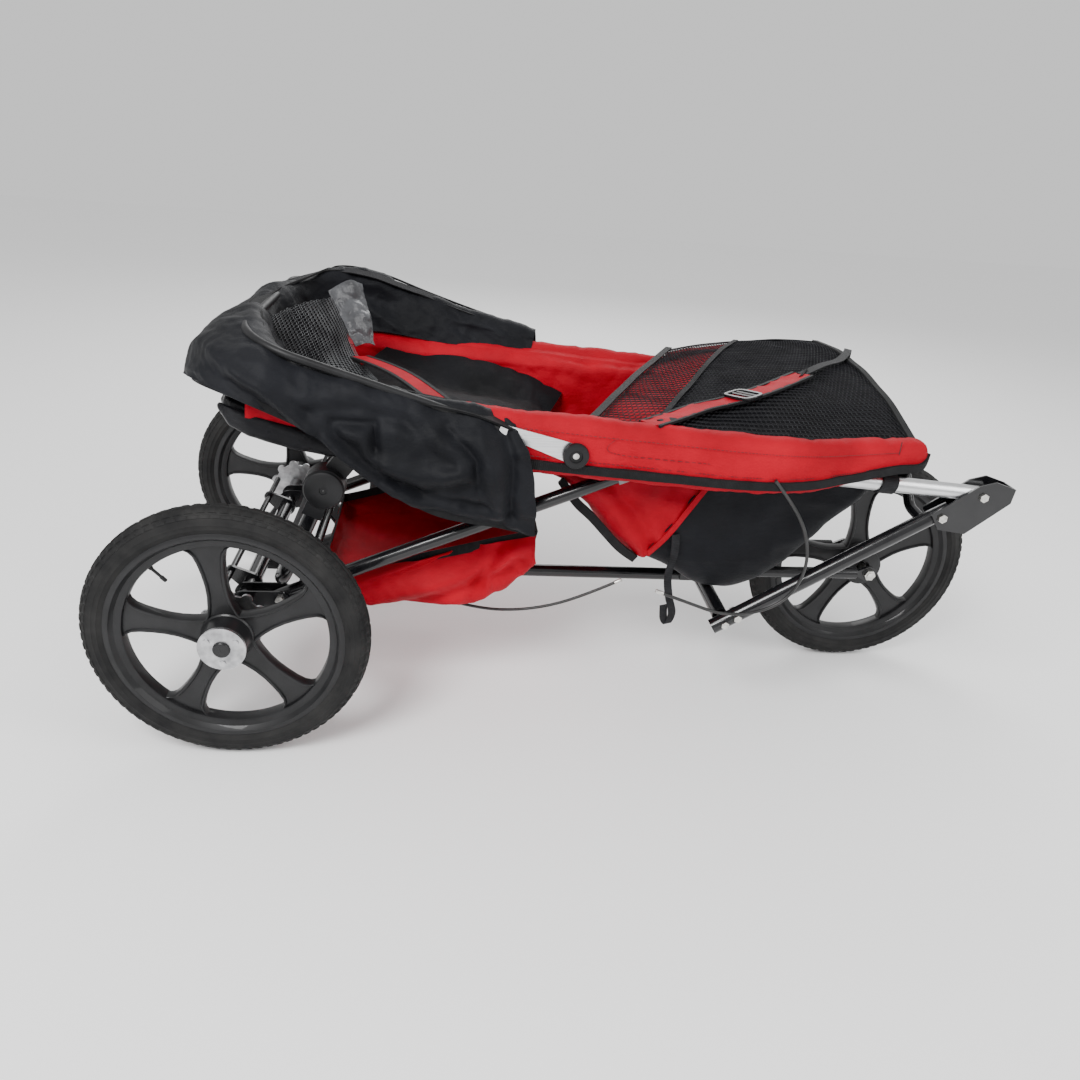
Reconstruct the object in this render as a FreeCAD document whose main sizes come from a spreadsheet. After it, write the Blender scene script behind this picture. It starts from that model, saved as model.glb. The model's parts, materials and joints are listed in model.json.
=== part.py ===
"""Three-wheeled jogging pet stroller, folded flat on its wheels.

Frame: +X forward, +Y to the stroller's left, +Z up, origin on the ground under the middle of the
wheelbase. Angles are in the XZ plane, positive when they lift +X towards +Z.
"""
import FreeCAD, Part
import math
import os
import Sketcher

Y_AXIS = FreeCAD.Vector(0, 1, 0)
Z_AXIS = FreeCAD.Vector(0, 0, 1)

DIMENSIONS = [
    # wheels
    ("wheel_radius", 200), ("tyre_section", 23), ("tyre_wall", 3.5), ("rim_radius", 163),
    ("rim_depth", 15), ("rim_half_width", 19), ("hub_radius", 25), ("hub_inboard", 35),
    ("hub_outboard", 38), ("spoke_count", 5), ("spoke_root", 19), ("spoke_waist", 13),
    ("spoke_foot", 27), ("spoke_half_depth", 10), ("spoke_angle", 25), ("hub_ring_radius", 33),
    ("hub_ring_thickness", 4), ("hub_screw_radius", 4.5), ("button_radius", 12), ("button_travel", 3),
    ("star_radius", 52), ("star_thickness", 4), ("wheel_axle_radius", 6),
    # chassis
    ("wheelbase", 1057), ("track", 606), ("axle_tube_radius", 12.5), ("keel_radius", 11),
    ("keel_height", 158), ("tube_wall", 1.8), ("fork_gauge", 58), ("fork_radius", 10),
    ("fork_plate", 5), ("bracket_plate", 3), ("saddle_half_width", 16), ("saddle_half_length", 15),
    # side frames: lengths between pivots and folded angles
    ("leg_length", 641), ("leg_angle", 23.44), ("leg_gauge", 198), ("leg_radius", 11),
    ("leg_pivot_forward", 55), ("leg_pivot_rise", 6), ("leg_bridge_radius", 8),
    ("rail_angle", -4), ("rail_gauge", 230), ("rail_radius", 12), ("rail_front", 458),
    ("rail_rear", 560), ("rail_hoop", 640), ("hoop_corner", 62), ("padding_radius", 18),
    ("strut_length", 427), ("strut_angle", 213.06), ("strut_radius", 12), ("strut_start", 48),
    ("arch_radius", 8), ("bolt_radius", 4), ("pivot_clearance", 0.08), ("side_clearance", 1.5),
    # handle, canopy and cloth
    ("knuckle_back", 507), ("knuckle_drop", 93), ("knuckle_radius", 29), ("knuckle_half", 16.5),
    ("elbow_back", 445), ("elbow_half_width", 16), ("handle_angle", 246), ("handle_length", 175),
    ("handle_radius", 11), ("handle_corner", 42), ("grip_radius", 16), ("grip_half_length", 150),
    ("canopy_back", 165), ("canopy_angle", 163), ("canopy_length", 475), ("canopy_arm", 105),
    ("canopy_arm_thickness", 4), ("canopy_wire_radius", 6), ("canopy_corner", 80),
    ("canopy_height", 96), ("canopy_wall", 22),
    ("sleeve_back", 425), ("sleeve_front", 345), ("sleeve_half_width", 18), ("sleeve_top", 26),
    ("sleeve_bottom", 30), ("cabin_half_width", 176), ("cloth_wall", 4),
    ("cover_half_width", 205), ("cover_rise", 44), ("basket_half_width", 178),
    ("strap_width", 12), ("strap_thickness", 6), ("cable_radius", 2.5),
]

doc = FreeCAD.newDocument("PetStroller")
sheet = doc.addObject("Spreadsheet::Sheet", "Dimensions")
for row, (alias, number) in enumerate(DIMENSIONS, start=1):
    sheet.set("A%d" % row, alias)
    sheet.set("B%d" % row, str(number))
    sheet.setAlias("B%d" % row, alias)
doc.recompute()

nodes = {}


def size(alias):
    """The number in the cell with this alias."""
    return float(sheet.get(alias))


def keep(name, obj):
    """Name an object of the document as one finished sub-part."""
    obj.Label = name
    nodes[name] = obj
    return obj


def bind(obj, **formulas):
    """Tie properties of an object to formulas of the sheet's cells."""
    for prop, formula in formulas.items():
        words = formula.replace("(", "( ").replace(")", " )").split()
        cells = dict(DIMENSIONS)
        words = ["Dimensions." + word if word in cells else word for word in words]
        obj.setExpression(prop, " ".join(words))


def feature(name, shape):
    """A sub-part whose shape is made in code from the sheet's sizes."""
    obj = doc.addObject("Part::Feature", name)
    obj.Shape = shape
    return keep(name, obj)


def ahead(start, angle, length):
    """The (x, z) point at a distance from another along an angle."""
    turn = math.radians(angle)
    return (start[0] + length * math.cos(turn), start[1] + length * math.sin(turn))


def member(origin, angle):
    """The placement of a side-frame member whose own X axis runs along the angle."""
    return FreeCAD.Placement(FreeCAD.Vector(origin[0], 0, origin[1]),
                             FreeCAD.Rotation(Y_AXIS, -angle))


REAR_X = -size("wheelbase") / 2
FRONT_X = size("wheelbase") / 2
LEG_FOOT = (REAR_X + size("leg_pivot_forward"), size("wheel_radius") + size("leg_pivot_rise"))
LEG_TOP = ahead(LEG_FOOT, size("leg_angle"), size("leg_length"))
RAIL_END = ahead(LEG_TOP, size("rail_angle"), size("rail_front"))
STRUT_FOOT = ahead(RAIL_END, size("strut_angle"), size("strut_length"))
LEG_FRAME = member(LEG_FOOT, size("leg_angle"))
RAIL_FRAME = member(LEG_TOP, size("rail_angle"))
STRUT_FRAME = member(RAIL_END, size("strut_angle"))


def on_rail(along, above):
    """The (x, z) point at a place in the rails' own frame."""
    point = RAIL_FRAME.multVec(FreeCAD.Vector(along, 0, above))
    return (point.x, point.z)


KNUCKLE = on_rail(-size("knuckle_back"), -size("knuckle_drop"))
CANOPY_PIVOT = on_rail(-size("canopy_back"), 0)
HANDLE_FRAME = member(KNUCKLE, size("handle_angle"))
CANOPY_FRAME = member(CANOPY_PIVOT, size("canopy_angle"))


def rod(radius, start, end):
    """A solid round bar between two points."""
    start = FreeCAD.Vector(*start)
    end = FreeCAD.Vector(*end)
    run = end - start
    return Part.makeCylinder(radius, run.Length, start, run)


def pin(radius, x, z, from_y, to_y):
    """A round bar across the stroller at (x, z)."""
    return rod(radius, (x, from_y, z), (x, to_y, z))


def pipe(radius, wall, start, end):
    """A straight round tube."""
    return rod(radius, start, end).cut(rod(radius - wall, start, end))


def box(x, y, z):
    """A block from three (low, high) pairs."""
    return Part.makeBox(x[1] - x[0], y[1] - y[0], z[1] - z[0], FreeCAD.Vector(x[0], y[0], z[0]))


def rounded_path(points, bends):
    """Straight runs through the points, joined by tangent arcs of the given radii."""
    vectors = [FreeCAD.Vector(*point) for point in points]
    edges = []
    last = vectors[0]
    for before, corner, after, bend in zip(vectors, vectors[1:], vectors[2:], bends):
        back = (before - corner).normalize()
        on = (after - corner).normalize()
        half = back.getAngle(on) / 2
        reach = bend / math.tan(half)
        middle = (back + on).normalize()
        enter = corner + back * reach
        leave = corner + on * reach
        top = corner + middle * (bend / math.sin(half) - bend)
        edges.append(Part.LineSegment(last, enter).toShape())
        edges.append(Part.Arc(enter, top, leave).toShape())
        last = leave
    edges.append(Part.LineSegment(last, vectors[-1]).toShape())
    return Part.Wire(edges)


def bar_along(wire, radius):
    """A round bar swept along a wire."""
    first = wire.OrderedEdges[0]
    start = first.valueAt(first.FirstParameter)
    circle = Part.Circle(start, first.tangentAt(first.FirstParameter), radius).toShape()
    return wire.makePipeShell([Part.Wire([circle])], True, True)


def side_plate(points, from_y, to_y):
    """A flat plate with an (x, z) outline, standing across Y."""
    corners = [FreeCAD.Vector(x, from_y, z) for x, z in points]
    face = Part.Face(Part.makePolygon(corners + corners[:1]))
    return face.extrude(FreeCAD.Vector(0, to_y - from_y, 0))


def link_plate(first, first_radius, second, second_radius, from_y, to_y):
    """A plate with two round ends of different radii, standing across Y."""
    run = math.hypot(second[0] - first[0], second[1] - first[1])
    heading = math.atan2(second[1] - first[1], second[0] - first[0])
    lean = math.acos((first_radius - second_radius) / run)
    corners = []
    for centre, radius, side in ((first, first_radius, -1), (second, second_radius, -1),
                                 (second, second_radius, 1), (first, first_radius, 1)):
        turn = heading + side * lean
        corners.append((centre[0] + radius * math.cos(turn), centre[1] + radius * math.sin(turn)))
    plate = side_plate(corners, from_y, to_y)
    for centre, radius in ((first, first_radius), (second, second_radius)):
        plate = plate.fuse(pin(radius, centre[0], centre[1], from_y, to_y))
    return plate.removeSplitter()


def hex_nut(radius, x, z, from_y, to_y):
    """A six-sided nut or bolt head across the stroller."""
    corners = [(x + radius * math.cos(math.radians(60 * step)),
                z + radius * math.sin(math.radians(60 * step))) for step in range(6)]
    return side_plate(corners, from_y, to_y)


def both_sides(shape):
    """The shape and its mirror image across the middle plane."""
    return [shape, shape.mirror(FreeCAD.Vector(0, 0, 0), Y_AXIS)]


def group(name, shapes):
    """Several separate solids of one kind in one node."""
    return feature(name, Part.makeCompound(shapes))


def bolt(x, z, inner_y, outer_y, head=7.0, head_length=5.0, nut_length=5.0):
    """A bolt across one side frame, its hexagon head outboard and its nut inboard."""
    shank = pin(size("bolt_radius"), x, z, inner_y - nut_length, outer_y + head_length)
    head_solid = hex_nut(head, x, z, outer_y, outer_y + head_length)
    nut_solid = hex_nut(head, x, z, inner_y - nut_length, inner_y)
    return shank.fuse([head_solid, nut_solid]).removeSplitter()


def plane_of(body, role):
    """One of a body's own origin planes or axes."""
    return [item for item in body.Origin.OriginFeatures if item.Role == role][0]


def sketch_on(body, role, name):
    """A new sketch on one of a body's own origin planes."""
    sketch = body.newObject("Sketcher::SketchObject", name)
    sketch.AttachmentSupport = [(plane_of(body, role), "")]
    sketch.MapMode = "FlatFace"
    return sketch


def outline(sketch, points):
    """A closed outline whose corners are tied to formulas of the sheet."""
    count = len(points)
    cells = dict(DIMENSIONS)
    numbers = []
    for pair in points:
        numbers.append([formula_value(formula, cells) for formula in pair])
    for index in range(count):
        start = FreeCAD.Vector(numbers[index][0], numbers[index][1], 0)
        end = FreeCAD.Vector(*numbers[(index + 1) % count], 0)
        sketch.addGeometry(Part.LineSegment(start, end), False)
    for index in range(count):
        sketch.addConstraint(Sketcher.Constraint("Coincident", index, 2, (index + 1) % count, 1))
    for index, pair in enumerate(points):
        for kind, number, formula in zip(("DistanceX", "DistanceY"), numbers[index], pair):
            place = sketch.addConstraint(Sketcher.Constraint(kind, index, 1, number))
            words = ["Dimensions." + word if word in cells else word for word in formula.split()]
            sketch.setExpression("Constraints[%d]" % place, " ".join(words))


def formula_value(formula, cells):
    """The value of a formula of cells, numbers and the signs + and - between words."""
    total = 0.0
    sign = 1.0
    for word in formula.split():
        if word == "+":
            sign = 1.0
        elif word == "-":
            sign = -1.0
        else:
            total += sign * (size(word) if word in cells else float(word))
    return total


def revolved_body(name, points):
    """A body turned about Y from an outline of (radius, y) corners."""
    body = doc.addObject("PartDesign::Body", name)
    sketch = sketch_on(body, "XY_Plane", name + "_profile")
    outline(sketch, points)
    turn = body.newObject("PartDesign::Revolution", name + "_turn")
    turn.Profile = sketch
    turn.ReferenceAxis = (sketch, ["V_Axis"])
    turn.Angle = 360
    body.Tip = turn
    return body


def bar_part(name, radius, length, start, direction):
    """A round bar whose radius and length are tied to formulas of the sheet."""
    bar = doc.addObject("Part::Cylinder", name)
    bind(bar, Radius=radius)
    if isinstance(length, str):
        bind(bar, Height=length)
    else:
        bar.Height = length
    along = FreeCAD.Rotation(Z_AXIS, FreeCAD.Vector(*direction))
    bar.Placement = FreeCAD.Placement(FreeCAD.Vector(*start), along)
    return bar


def cut_part(name, base, tools):
    """A finished sub-part: one object with others cut from it in turn."""
    for index, tool in enumerate(tools):
        result = doc.addObject("Part::Cut", "%s_cut_%d" % (name, index))
        result.Base = base
        result.Tool = tool
        base = result
    doc.recompute()
    return keep(name, base)


def tube_part(name, radius, length, start, direction, holes=(), inner="tube_wall"):
    """A straight tube with bolt holes across it, each hole a formula and an x."""
    outside = bar_part(name + "_outside", radius, length, start, direction)
    tools = [bar_part(name + "_bore", radius + " - " + inner, length, start, direction)]
    for index, (hole, x) in enumerate(holes):
        hole_start = (x, -size("track") / 2, 0)
        tools.append(bar_part("%s_hole_%d" % (name, index), hole, "track", hole_start, Y_AXIS))
    return cut_part(name, outside, tools)


# Wheels: a tyre, a one-piece five-spoke rim, a screwed hub ring and, at the rear, a push button.

def tyre(name):
    """A hollow tyre whose open base sits on the rim."""
    centre = size("wheel_radius") - size("tyre_section")
    outer = Part.makeTorus(centre, size("tyre_section"), FreeCAD.Vector(0, 0, 0), Y_AXIS)
    inner = Part.makeTorus(centre, size("tyre_section") - size("tyre_wall"),
                           FreeCAD.Vector(0, 0, 0), Y_AXIS)
    seat = pin(size("rim_radius"), 0, 0, -60, 60)
    return feature(name, outer.cut([inner, seat]))


def rim(name, half_depth):
    """A moulded rim: ring, hub and five waisted spokes."""
    body = revolved_body(name, [
        ("rim_radius - rim_depth", "0 - rim_half_width"), ("rim_radius", "0 - rim_half_width"),
        ("rim_radius", "rim_half_width"), ("rim_radius - rim_depth", "rim_half_width")])
    hub = sketch_on(body, "XY_Plane", name + "_hub_profile")
    inner = "wheel_axle_radius + pivot_clearance"
    outline(hub, [(inner, "0 - hub_inboard"), ("hub_radius", "0 - hub_inboard"),
                  ("hub_radius", half_depth), ("button_radius + 0.1", half_depth),
                  ("button_radius + 0.1", half_depth + " - 11"), (inner, half_depth + " - 11")])
    spoke = sketch_on(body, "XZ_Plane", name + "_spoke_outline")
    reach = "rim_radius - rim_depth + 3"
    outline(spoke, [("hub_radius - 4", "0 - spoke_root"), ("hub_radius + 42", "0 - spoke_waist"),
                    (reach, "0 - spoke_foot"), (reach, "spoke_foot"),
                    ("hub_radius + 42", "spoke_waist"), ("hub_radius - 4", "spoke_root")])
    arm = body.newObject("PartDesign::Pad", name + "_spoke")
    arm.Profile = spoke
    arm.SideType = "Symmetric"
    bind(arm, Length="spoke_half_depth + spoke_half_depth")
    doc.recompute()
    spokes = body.newObject("PartDesign::PolarPattern", name + "_spokes")
    spokes.Originals = [arm]
    spokes.Axis = (spoke, ["N_Axis"])
    spokes.Angle = 360
    bind(spokes, Occurrences="spoke_count")
    body.Tip = spokes
    doc.recompute()
    turn = body.newObject("PartDesign::Revolution", name + "_hub")
    turn.Profile = hub
    turn.ReferenceAxis = (hub, ["V_Axis"])
    turn.Angle = 360
    body.Tip = turn
    return keep(name, body)


def star_disc():
    """The toothed parking-brake disc on the inner end of a rear hub."""
    back = -size("hub_inboard")
    front = back - size("star_thickness")
    disc = pin(size("star_radius") - 12, 0, 0, front, back)
    for lobe in range(10):
        turn = math.radians(36 * lobe)
        reach = size("star_radius") - 12
        disc = disc.fuse(pin(8, reach * math.cos(turn), reach * math.sin(turn), front, back))
    return disc.cut(pin(9, 0, 0, front, back)).removeSplitter()


def hub_ring():
    """A ring with three domed screw heads on the outer face of a hub."""
    back = size("hub_outboard")
    front = back + size("hub_ring_thickness")
    ring = pin(size("hub_ring_radius"), 0, 0, back, front)
    ring = ring.cut(pin(size("button_radius") + 0.1, 0, 0, back, front))
    screw_circle = (size("hub_ring_radius") + size("button_radius")) / 2
    for third in range(3):
        turn = math.radians(115 + 120 * third)
        x = screw_circle * math.cos(turn)
        z = screw_circle * math.sin(turn)
        head = pin(size("hub_screw_radius"), x, z, front, front + 2)
        ring = ring.fuse(head)
    return ring


def put_wheel(obj, x, y, outward):
    """Place a sub-part modelled about the hub's centre, its outer face along the given side."""
    facing_left = outward > 0
    turn = FreeCAD.Rotation(Z_AXIS, 0 if facing_left else 180)
    angle = size("spoke_angle") if facing_left else 180 - size("spoke_angle")
    spin = FreeCAD.Rotation(Y_AXIS, -angle)
    place = FreeCAD.Vector(x, y, size("wheel_radius"))
    obj.Placement = FreeCAD.Placement(place, turn * spin)
    return obj


for side_name, side in (("left", 1), ("right", -1)):
    hub_y = side * size("track") / 2
    put_wheel(tyre("tyre_" + side_name), REAR_X, hub_y, side)
    put_wheel(rim("rim_" + side_name, "hub_outboard"), REAR_X, hub_y, side)
    put_wheel(feature("brake_star_" + side_name, star_disc()), REAR_X, hub_y, side)
    put_wheel(feature("hub_ring_" + side_name, hub_ring()), REAR_X, hub_y, side)
    outer = size("hub_outboard") + size("hub_ring_thickness") + size("button_travel") + 1
    inner = outer - 11
    button = pin(size("button_radius"), 0, 0, inner, outer)
    button = button.makeFillet(2.5, [edge for edge in button.Edges
                                     if abs(edge.CenterOfMass.y - outer) < 0.01])
    put_wheel(feature("hub_button_" + side_name, button), REAR_X, hub_y, side)

put_wheel(tyre("front_tyre"), FRONT_X, 0, -1)
put_wheel(rim("front_rim", "hub_inboard"), FRONT_X, 0, -1)

# Chassis: rear axle tube, keel, front crossbar and the fork that holds the front wheel.

WHEEL_Z = size("wheel_radius")
AXLE_TUBE = size("axle_tube_radius")
WALL = size("tube_wall")
AXLE_END = size("track") / 2 - size("hub_inboard") - size("star_thickness") - 2
KEEL_Z = size("keel_height")
KEEL_FRONT = STRUT_FOOT[0] + 20
CROSSBAR_END = size("rail_gauge") - size("strut_radius") - 6
AXLE = size("wheel_axle_radius")

tube_part("rear_axle_tube", "axle_tube_radius",
          "track - 2 * hub_inboard - 2 * star_thickness - 4", (REAR_X, -AXLE_END, WHEEL_Z), Y_AXIS)
stub_end = size("track") / 2 + size("hub_outboard") - 11.5
stub = pin(AXLE_TUBE - WALL, REAR_X, WHEEL_Z, AXLE_END - 30, AXLE_END)
stub = stub.fuse(pin(AXLE, REAR_X, WHEEL_Z, AXLE_END, stub_end)).removeSplitter()
group("stub_axles", both_sides(stub))
tube_part("keel_tube", "keel_radius", KEEL_FRONT - REAR_X + 14, (REAR_X - 14, 0, KEEL_Z), (1, 0, 0))
tube_part("front_crossbar", "axle_tube_radius", "2 * rail_gauge - 2 * strut_radius - 12",
          (STRUT_FOOT[0], -CROSSBAR_END, STRUT_FOOT[1]), Y_AXIS)


def saddle(x, z):
    """The cast block that clamps the keel under a cross tube."""
    half = size("saddle_half_length")
    wide = size("saddle_half_width")
    block = box((x - half, x + half), (-wide, wide), (KEEL_Z - 4, z))
    keel = rod(size("keel_radius"), (x - 60, 0, KEEL_Z), (x + 60, 0, KEEL_Z))
    return block.cut([keel, pin(AXLE_TUBE, x, z, -60, 60)])


group("keel_saddles", [saddle(REAR_X, WHEEL_Z), saddle(*STRUT_FOOT)])

FORK_Y = size("fork_gauge")
PLATE_BACK = FRONT_X - 24
for side_name, side in (("left", 1), ("right", -1)):
    arm = pipe(size("fork_radius"), WALL, (STRUT_FOOT[0], side * FORK_Y, STRUT_FOOT[1]),
               (PLATE_BACK, side * FORK_Y, WHEEL_Z))
    crossbar = pin(AXLE_TUBE, STRUT_FOOT[0], STRUT_FOOT[1], -300, 300)
    feature("fork_arm_" + side_name, arm.cut(crossbar).Solids[-1])

half_plate = size("fork_plate") / 2
dropout = link_plate((FRONT_X, WHEEL_Z), 14, (PLATE_BACK + 6, WHEEL_Z), 6,
                     FORK_Y - half_plate, FORK_Y + half_plate)
dropout = dropout.cut(pin(AXLE, FRONT_X, WHEEL_Z, 0, 90))
group("fork_dropouts", both_sides(dropout))
axle_reach = FORK_Y + half_plate
front_axle = pin(AXLE, FRONT_X, WHEEL_Z, -axle_reach - 9, axle_reach + 9)
for side in (1, -1):
    low, high = sorted((side * axle_reach, side * (axle_reach + 7)))
    front_axle = front_axle.fuse(hex_nut(10, FRONT_X, WHEEL_Z, low, high))
feature("front_axle", front_axle.removeSplitter())

LEG_Y = size("leg_gauge")
LEG_R = size("leg_radius")
SIDE_GAP = size("side_clearance")
PLATE = size("bracket_plate")
BOLT = size("bolt_radius")
brackets = []
for face in (LEG_Y - LEG_R - SIDE_GAP - PLATE, LEG_Y + LEG_R + SIDE_GAP):
    plate = link_plate((REAR_X, WHEEL_Z), AXLE_TUBE + 6, LEG_FOOT, 13, face, face + PLATE)
    plate = plate.cut([pin(AXLE_TUBE, REAR_X, WHEEL_Z, 0, 300),
                       pin(BOLT, LEG_FOOT[0], LEG_FOOT[1], 0, 300)])
    brackets.extend(both_sides(plate))
group("leg_brackets", brackets)
foot_bolt = bolt(LEG_FOOT[0], LEG_FOOT[1], LEG_Y - LEG_R - SIDE_GAP - PLATE,
                 LEG_Y + LEG_R + SIDE_GAP + PLATE)
group("leg_foot_bolts", both_sides(foot_bolt))

BASKET_Y = size("basket_half_width")
basket_back = REAR_X + 112
basket_front = STRUT_FOOT[0] - 300
keel_top = KEEL_Z + size("keel_radius")
basket_side = [(basket_back, keel_top + 33), (basket_back + 50, keel_top + 3),
               (basket_front - 110, keel_top + 3), (basket_front, keel_top + 71),
               (basket_front, keel_top + 136), (basket_back, keel_top + 46)]


def open_tray(points, half_width, lift):
    """A cloth tray: a closed outline given a wall, with its top left open."""
    wall = size("cloth_wall")
    outer = side_plate(points, -half_width, half_width)
    corners = [FreeCAD.Vector(x, wall - half_width, z) for x, z in points]
    face = Part.Face(Part.makePolygon(corners + corners[:1]))
    inner = face.makeOffset2D(-wall).extrude(FreeCAD.Vector(0, 2 * (half_width - wall), 0))
    raised = inner.copy()
    raised.translate(FreeCAD.Vector(0, 0, lift))
    return outer.cut([inner, raised])


feature("basket", open_tray(basket_side, BASKET_Y, 8))

# Parking brake: a foot bar behind the axle that swings down between the two star discs.

BRAKE_PIVOT = (REAR_X - 30, WHEEL_Z + 20)
ears = []
for ear_y in (150, -150):
    ear = link_plate((REAR_X, WHEEL_Z), AXLE_TUBE + 4, BRAKE_PIVOT, 9, ear_y - 3, ear_y + 3)
    ears.append(ear.cut([pin(AXLE_TUBE, REAR_X, WHEEL_Z, -300, 300),
                         pin(5 + size("pivot_clearance"), *BRAKE_PIVOT, -300, 300)]))
group("brake_bar_ears", ears)
bar = pin(5, BRAKE_PIVOT[0], BRAKE_PIVOT[1], -235, 235)
pedal = box((BRAKE_PIVOT[0] - 58, BRAKE_PIVOT[0]), (-32, 32), (BRAKE_PIVOT[1] - 4, BRAKE_PIVOT[1] + 4))
feature("parking_brake_bar", bar.fuse(pedal).removeSplitter())

# Rear legs, modelled along their own X from the foot pivot to the top pivot.

LEG_LENGTH = size("leg_length")
for side_name, side in (("left", 1), ("right", -1)):
    bores = [("bolt_radius + pivot_clearance", x) for x in (0, LEG_LENGTH)]
    leg = tube_part("leg_tube_" + side_name, "leg_radius", "leg_length + 30",
                    (-15, side * LEG_Y, 0), (1, 0, 0), bores)
    leg.Placement = LEG_FRAME
bridge = pin(size("leg_bridge_radius"), 34, 0, -LEG_Y, LEG_Y)
for side in (1, -1):
    bridge = bridge.cut(rod(LEG_R, (-20, side * LEG_Y, 0), (100, side * LEG_Y, 0)))
feature("leg_bridge", bridge).Placement = LEG_FRAME
collar = rod(LEG_R + 2.5, (LEG_LENGTH - 100, LEG_Y, 0), (LEG_LENGTH - 62, LEG_Y, 0))
collar = collar.cut(rod(LEG_R, (0, LEG_Y, 0), (LEG_LENGTH, LEG_Y, 0)))
group("leg_collars", both_sides(collar)).Placement = LEG_FRAME

# Rails and what they carry, modelled along their own X forward from the leg pivot.

RAIL_Y = size("rail_gauge")
RAIL_R = size("rail_radius")
RAIL_FRONT = size("rail_front")
RAIL_REAR = -size("rail_rear")
SLEEVE_Y = size("sleeve_half_width")
rail_core = rod(RAIL_R, (RAIL_REAR, RAIL_Y, 0), (RAIL_FRONT + 17, RAIL_Y, 0))
top_bolt_shape = bolt(0, 0, LEG_Y - LEG_R - SIDE_GAP, RAIL_Y + SLEEVE_Y)
shoulder = pin(8, 0, 0, LEG_Y + LEG_R + 0.4, RAIL_Y - RAIL_R)
shoulder = shoulder.cut(rod(RAIL_R, (-20, RAIL_Y, 0), (20, RAIL_Y, 0)))
for side_name, side in (("left", 1), ("right", -1)):
    bores = [("bolt_radius", 0), ("bolt_radius", -size("canopy_back")),
             ("bolt_radius + pivot_clearance", RAIL_FRONT)]
    rail = tube_part("rail_tube_" + side_name, "rail_radius", "rail_rear + rail_front + 17",
                     (RAIL_REAR, side * RAIL_Y, 0), (1, 0, 0), bores)
    rail.Placement = RAIL_FRAME

hoop_back = -size("rail_hoop")
hoop_corner = size("hoop_corner")
hoop_points = [(RAIL_REAR, -RAIL_Y, 0), (hoop_back, -RAIL_Y, 0), (hoop_back, RAIL_Y, 0),
               (RAIL_REAR, RAIL_Y, 0)]
hoop_path = rounded_path(hoop_points, [hoop_corner, hoop_corner])
hoop_bar = bar_along(hoop_path, RAIL_R)
hoop_bore = bar_along(hoop_path, RAIL_R - WALL)
feature("rear_hoop", hoop_bar.cut(hoop_bore)).Placement = RAIL_FRAME
padding = bar_along(hoop_path, size("padding_radius"))
feature("rear_padding", padding.cut(hoop_bar)).Placement = RAIL_FRAME

arm_y = (RAIL_Y - RAIL_R - 2, RAIL_Y - RAIL_R - 2 + size("knuckle_half"))
knuckle_local = (-size("knuckle_back"), -size("knuckle_drop"))
elbow_top = (-size("elbow_back"), 0)
for side_name, side in (("left", 1), ("right", -1)):
    elbow = link_plate(elbow_top, size("elbow_half_width"), knuckle_local,
                       size("elbow_half_width") + 0.1, *arm_y)
    elbow = elbow.fuse(pin(size("knuckle_radius"), *knuckle_local, *arm_y))
    elbow = elbow.cut([rail_core, pin(BOLT, *knuckle_local, 0, 300)]).removeSplitter()
    if side < 0:
        elbow = both_sides(elbow)[1]
    feature("handle_elbow_" + side_name, elbow).Placement = RAIL_FRAME

knuckle_bolt = bolt(*knuckle_local, arm_y[0], arm_y[1] + 0.8 + size("knuckle_half"), head_length=3)
studs = pin(BOLT, -size("canopy_back"), 0, RAIL_Y - 10, RAIL_Y + SLEEVE_Y + 13)
studs = studs.fuse(pin(7, -size("canopy_back"), 0, RAIL_Y + SLEEVE_Y + 10.4, RAIL_Y + SLEEVE_Y + 13))
top_bolt = top_bolt_shape.fuse(shoulder)
rail_bolts = both_sides(knuckle_bolt) + both_sides(top_bolt) + both_sides(studs)
group("rail_bolts", rail_bolts).Placement = RAIL_FRAME

for side_name, side in (("left", 1), ("right", -1)):
    sleeve = box((-size("sleeve_back"), size("sleeve_front")), (RAIL_Y - SLEEVE_Y, RAIL_Y + SLEEVE_Y),
                 (-size("sleeve_bottom"), size("sleeve_top")))
    long_edges = [edge for edge in sleeve.Edges if abs(edge.tangentAt(0).x) > 0.9]
    sleeve = sleeve.makeFillet(9, long_edges)
    sleeve = sleeve.cut([rail_core, top_bolt_shape, pin(8.2, 0, 0, 0, RAIL_Y), studs])
    if side < 0:
        sleeve = both_sides(sleeve)[1]
    feature("rail_sleeve_" + side_name, sleeve).Placement = RAIL_FRAME

CABIN_Y = size("cabin_half_width")
CABIN_TOP = 12
joint_x = 45
cabin_side = [(RAIL_REAR + 10, CABIN_TOP), (RAIL_REAR + 10, -40), (-185, -50), (-25, -190),
              (joint_x, -205), (joint_x, CABIN_TOP)]
apron_front = size("sleeve_front") - 2
apron_side = [(joint_x, CABIN_TOP), (joint_x, -205), (joint_x + 27, -218), (apron_front, -22),
              (apron_front, CABIN_TOP)]
feature("cabin_tub", open_tray(cabin_side, CABIN_Y, 10)).Placement = RAIL_FRAME
feature("front_apron", open_tray(apron_side, CABIN_Y, 10)).Placement = RAIL_FRAME


def arched_sheet(back, front, half_width, base, rise, thickness):
    """A thin sheet that arches across the stroller between two stations of the rails."""
    edges = []
    for lift in (0, thickness):
        edges.append(Part.Arc(FreeCAD.Vector(back, -half_width, base + lift),
                              FreeCAD.Vector(back, 0, base + rise + lift),
                              FreeCAD.Vector(back, half_width, base + lift)).toShape())
    for end in (-half_width, half_width):
        edges.append(Part.LineSegment(FreeCAD.Vector(back, end, base),
                                      FreeCAD.Vector(back, end, base + thickness)).toShape())
    face = Part.Face(Part.Wire(Part.__sortEdges__(edges)))
    return face.extrude(FreeCAD.Vector(front - back, 0, 0))


cover = arched_sheet(12, size("sleeve_front"), size("cover_half_width"), CABIN_TOP + 4,
                     size("cover_rise"), size("cloth_wall"))
feature("mesh_cover", cover).Placement = RAIL_FRAME

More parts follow.
